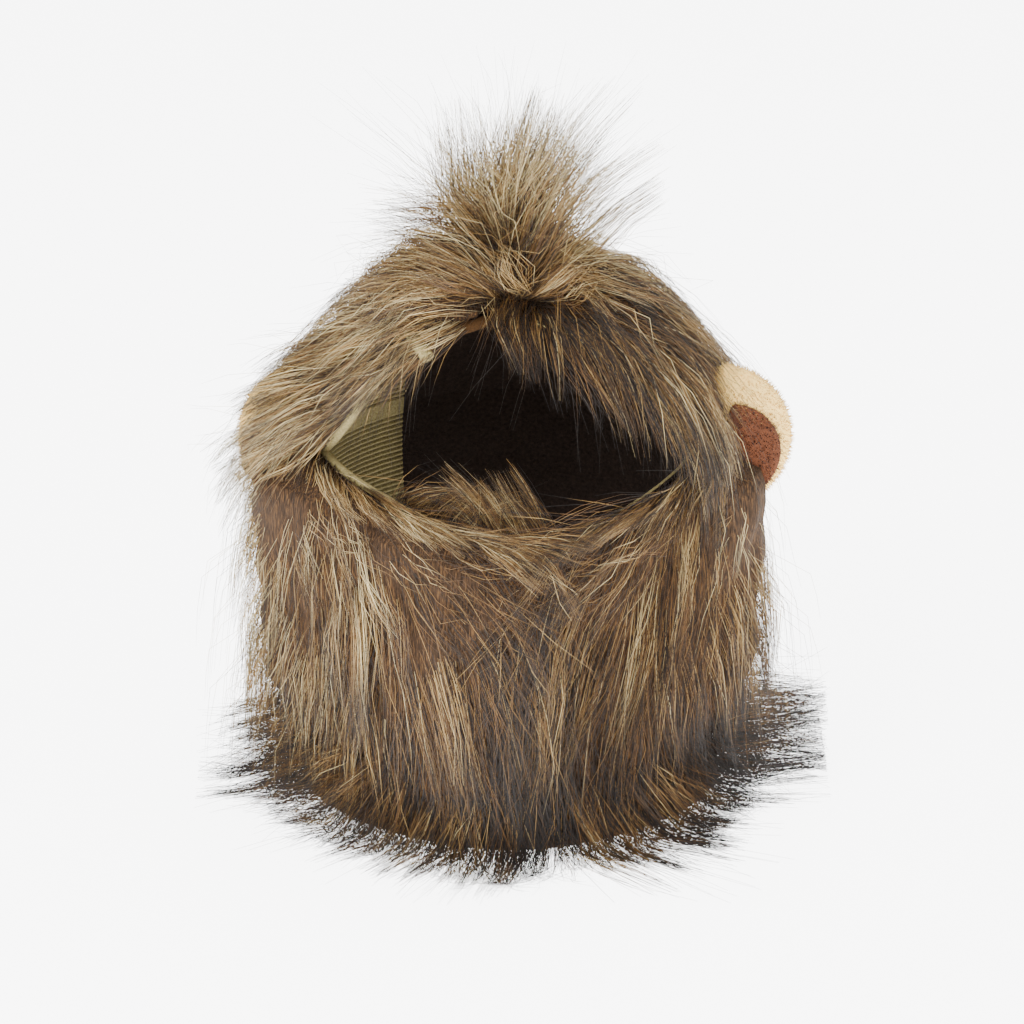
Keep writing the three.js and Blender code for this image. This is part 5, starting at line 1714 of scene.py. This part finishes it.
class MANE_OT_face_facing(Operator):
    """Ribbed knit strip inside the face opening, with its stitched hem"""

    bl_idname = "mane.face_facing"
    bl_label = "Face facing"

    def execute(self, context):
        pitch = context.scene.mane_sizes.rib_pitch
        knit = bpy.data.materials["cotton_rib_knit"]
        walls = [self.wall(side, pitch, knit) for side in (-1, 1)] + [self.chin_wall(pitch, knit)]
        walls += self.bindings(knit)
        seam_and_shaded_hem = self.hem_seam()
        tree, sockets = stitch_tree()
        modifier = seam_and_shaded_hem.modifiers.new("Stitches", "NODES")
        modifier.node_group = tree
        modifier[sockets["pitch"]] = 2.4 * MM
        modifier[sockets["thread"]] = 0.22 * MM
        modifier[sockets["finish"]] = bpy.data.materials["polyester_sewing_thread"]
        finish_piece(join(*walls, baked(seam_and_shaded_hem)), "ribbed_facing", "face_facing")
        return {"FINISHED"}

    @staticmethod
    def ribbed(name, azimuth, share, hem, pitch, knit):
        """A closed sheet with level ribs and a plain hem; hem is the distance from the opening's edge."""
        along = section_at(share)[2]
        plain = smoothstep(7 * MM, 4 * MM, hem)
        crest = (0.5 - 0.5 * np.cos(2 * math.pi * along / pitch)) * (1 - plain) + 0.9 * plain
        outer = lifted(azimuth, share, FACING_LIFT + 0 * along)
        inner = lifted(azimuth, share, FACING_LIFT - 0.7 * MM - 0.5 * MM * crest)
        made = closed_sheet(name, outer, inner)
        count = len(made.data.vertices)
        # The rib attribute holds the crest height, which the knit's material uses to paint shade in the
        # grooves.
        height = made.data.attributes.new("rib", "FLOAT", "POINT")
        flat = np.concatenate([np.full(crest.size, 0.5), crest.reshape(-1)])
        height.data.foreach_set("value", np.resize(flat, count).astype(np.float32))
        made.data.materials.append(knit)
        return made

    def wall(self, side, pitch, knit):
        """The facing at one side of the opening, up to the crown."""
        rows = 230
        columns = 10
        u, v = np.meshgrid(np.linspace(0, 1, columns + 1), np.linspace(0, 1, rows + 1), indexing="ij")
        height = CORNER_HEIGHT + v * (HOOD_HEIGHT * 0.985 - CORNER_HEIGHT)
        front = azimuth_at(opening_half_width_at(height), height)
        back = (141 if side < 0 else 103) * DEGREE
        azimuth = side * (front + u * (back - front))
        hem = u * (back - front) * HOOD_HALF_WIDTH
        return self.ribbed("facing_wall", azimuth, share_at(height), hem, pitch, knit)

    def chin_wall(self, pitch, knit):
        """The facing below the opening."""
        rows = 110
        columns = 30
        u, v = np.meshgrid(np.linspace(0, 1, columns + 1), np.linspace(0, 1, rows + 1), indexing="ij")
        azimuth = (-141 + u * (141 + 103)) * DEGREE
        side = inner_face(azimuth, share_at(CORNER_HEIGHT) + 0 * azimuth)[..., 0] - HOOD_CENTRE.x
        top = np.where(np.cos(azimuth) > 0, opening_floor_at(side), CORNER_HEIGHT)
        height = 83 * MM + v * (top - 83 * MM)
        return self.ribbed("facing_chin", azimuth, share_at(height), top - height, pitch, knit)

    @staticmethod
    def edge_roll(name, side, height, lift, radius, material):
        """A rolled cloth edge through places given by distance to the right and height."""
        azimuth = np.sign(side) * azimuth_at(np.abs(side), height)
        line = lifted(azimuth, share_at(height), lift + 0 * side)
        made = fibres_object(
            name, line[None], np.ones(1), np.zeros(1), material, taper=0, radius=radius, sides=8
        )
        rib = made.data.attributes.new("rib", "FLOAT", "POINT").data
        rib.foreach_set("value", [0.8] * len(made.data.vertices))
        return made

    def bindings(self, knit):
        """The facing's edge turned over the lining's, the forehead hem and the folded end beside it. The
        forehead
        hem is dark brown as painted shade: the backing, there in shadow.
        """
        low = np.linspace(-1, -0.1, 30) * OPENING_HALF_WIDTH
        high = np.linspace(-OPENING_HALF_WIDTH, -0.5 * OPENING_HALF_WIDTH, 20)
        hem = np.linspace(-0.4, -0.12, 10) * OPENING_HALF_WIDTH
        fold = np.linspace(-0.47, -0.39, 6) * OPENING_HALF_WIDTH
        seam_and_shaded_hem = bpy.data.materials["forehead_hem_painted_shade"]
        fold_height = opening_top_at(fold) - np.linspace(-2, 6, 6) * MM
        return [
            self.edge_roll("facing_low_edge", low, opening_floor_at(low), LINING_WALL / 2, 1.7 * MM, knit),
            self.edge_roll("facing_high_edge", high, opening_top_at(high), LINING_WALL / 2, 1.7 * MM, knit),
            # The forehead hem's dark brown is painted shade, the backing there in shadow.
            self.edge_roll("forehead_hem", hem, opening_top_at(hem) - 1 * MM, BACKING_LIFT, 2.0 * MM, seam_and_shaded_hem),
            self.edge_roll("folded_end", fold, fold_height, 3 * BACKING_LIFT, 2.4 * MM, knit),
        ]

    @staticmethod
    def hem_seam():
        """The line that the hem of the facing is sewn along, 5 mm from the opening's edge."""
        points, edges = [], []
        for side in (-1, 1):
            height = np.linspace(CORNER_HEIGHT, OPENING_TOP + 3 * MM, 40)
            azimuth = azimuth_at(opening_half_width_at(height) + 5 * MM, height)
            line = lifted(side * azimuth, share_at(height), FACING_LIFT - 1.25 * MM + 0 * height)
            edges += [(len(points) + i, len(points) + i + 1) for i in range(len(line) - 1)]
            points += line.tolist()
        return mesh_object("facing_hem_seam", points, edges=edges)


class MANE_OT_lining(Operator):
    """Fleece finish of the lining, whose near-black brown also paints the shade inside the hood, and tape
    finish of the touch fastener
    """

    bl_idname = "mane.lining"
    bl_label = "Lining and fastener"

    def execute(self, context):
        finishes = {"lining": "brushed_polyester_fleece", "touch_fastener": "nylon_loop_tape"}
        for node, finish in finishes.items():
            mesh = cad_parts[node].data
            mesh.materials.clear()
            mesh.materials.append(bpy.data.materials[finish])
        return {"FINISHED"}


class MANE_OT_fabrics(Operator):
    """Materials of every fabric"""

    bl_idname = "mane.fabrics"
    bl_label = "Fabrics"

    def execute(self, context):
        colours = context.scene.mane_colours
        faux_fur()
        underwool()
        ribbed_knit()
        plush("cream_polyester_plush", tuple(colours.ear_plush), 0.0)
        plush("brown_polyester_plush", tuple(colours.ear_patch), 0.3)
        # The lining's near-black brown is partly painted shade for the inside of the hood.
        fleece("brushed_polyester_fleece", tuple(colours.lining), 1.2 * MM)
        fleece("nylon_loop_tape", linear("#3a2a1e"), 0.5 * MM)
        fleece("polyester_sewing_thread", linear("#8a7d58"), 0.4 * MM)
        # Forehead hem: dark brown as painted shade.
        fleece("forehead_hem_painted_shade", linear("#382512"), 0.5 * MM)
        return {"FINISHED"}


# Stage


class MANE_OT_stage(Operator):
    """Floor, soft lights and the camera

    The floor is an opal light panel: matt, and lit from within so that it stays near white.
    """

    bl_idname = "mane.stage"
    bl_label = "Stage"

    def execute(self, context):
        floor = mesh_object(
            "studio_floor", [(-3, -3, 0), (3, -3, 0), (3, 3, 0), (-3, 3, 0)], faces=[(0, 1, 2, 3)]
        )
        floor.location.z = -0.0002
        material, tree, output = new_material("opal_light_panel")
        panel = add_node(
            tree,
            "ShaderNodeBsdfPrincipled",
            {
                "Base Color": (0.96, 0.96, 0.96, 1),
                "Roughness": 0.9,
                "Emission Color": (1, 1, 1, 1),
                "Emission Strength": 6.0,
            },
        )
        tree.links.new(panel.outputs["BSDF"], output.inputs["Surface"])
        floor.data.materials.append(material)
        world = bpy.data.worlds.new("studio")
        context.scene.world = world
        world.use_nodes = True
        background = world.node_tree.nodes["Background"]
        background.inputs["Color"].default_value = (1, 1, 1, 1)
        background.inputs["Strength"].default_value = 1.2
        for name, place, size, power in (
            ("key_light", (-0.55, -0.7, 0.95), 0.5, 14.0),
            ("fill_light", (0.8, -0.6, 0.5), 0.8, 5.0),
            ("top_light", (0.1, 0.3, 1.2), 0.8, 8.0),
        ):
            lamp = bpy.data.lights.new(name, "AREA")
            lamp.size, lamp.energy = size, power
            holder = bpy.data.objects.new(name, lamp)
            context.collection.objects.link(holder)
            holder.location = place
            aim = Vector((0, 0, 0.1)) - Vector(place)
            holder.rotation_euler = aim.to_track_quat("-Z", "Y").to_euler()
        lens = bpy.data.cameras.new("camera")
        camera = bpy.data.objects.new("camera", lens)
        context.collection.objects.link(camera)
        target = Vector((-0.0003, 0, 0.0957))
        distance = 1.6
        away = Vector((0, -math.cos(22 * DEGREE), math.sin(22 * DEGREE)))
        camera.location = target + distance * away
        camera.rotation_euler = (-away).to_track_quat("-Z", "Y").to_euler()
        lens.sensor_width = 36
        lens.lens = 36 * distance * 3 / 1.024
        context.scene.camera = camera
        return {"FINISHED"}


class MANE_PT_pieces(Panel):
    """Lists the mane's pieces, sizes and colours"""

    bl_idname = "MANE_PT_pieces"
    bl_label = "Lion mane wig"
    bl_space_type = "VIEW_3D"
    bl_region_type = "UI"
    bl_category = "Mane"

    def draw(self, context):
        layout = self.layout
        for settings in (context.scene.mane_sizes, context.scene.mane_colours):
            box = layout.box()
            for name in settings.bl_rna.properties.keys():
                if name not in ("rna_type", "name"):
                    box.prop(settings, name)
        for piece in PIECES:
            layout.operator(piece.bl_idname)


PIECES = (
    MANE_OT_stage,
    MANE_OT_fabrics,
    MANE_OT_lining,
    MANE_OT_face_facing,
    MANE_OT_ears,
    MANE_OT_hood_fur,
    MANE_OT_crest_fur,
    MANE_OT_crown_tuft,
    MANE_OT_front_flaps,
    MANE_OT_neck_back,
    MANE_OT_neck_ruff,
)
CLASSES = (ManeSizes, ManeColours, *PIECES, MANE_PT_pieces)


def register():
    for kind in CLASSES:
        bpy.utils.register_class(kind)
    bpy.types.Scene.mane_sizes = PointerProperty(type=ManeSizes)
    bpy.types.Scene.mane_colours = PointerProperty(type=ManeColours)


def unregister():
    del bpy.types.Scene.mane_colours
    del bpy.types.Scene.mane_sizes
    for kind in reversed(CLASSES):
        bpy.utils.unregister_class(kind)


def main():
    register()
    for piece in PIECES:
        group, name = piece.bl_idname.split(".")
        getattr(getattr(bpy.ops, group), name)()


if __name__ == "__main__":
    main()
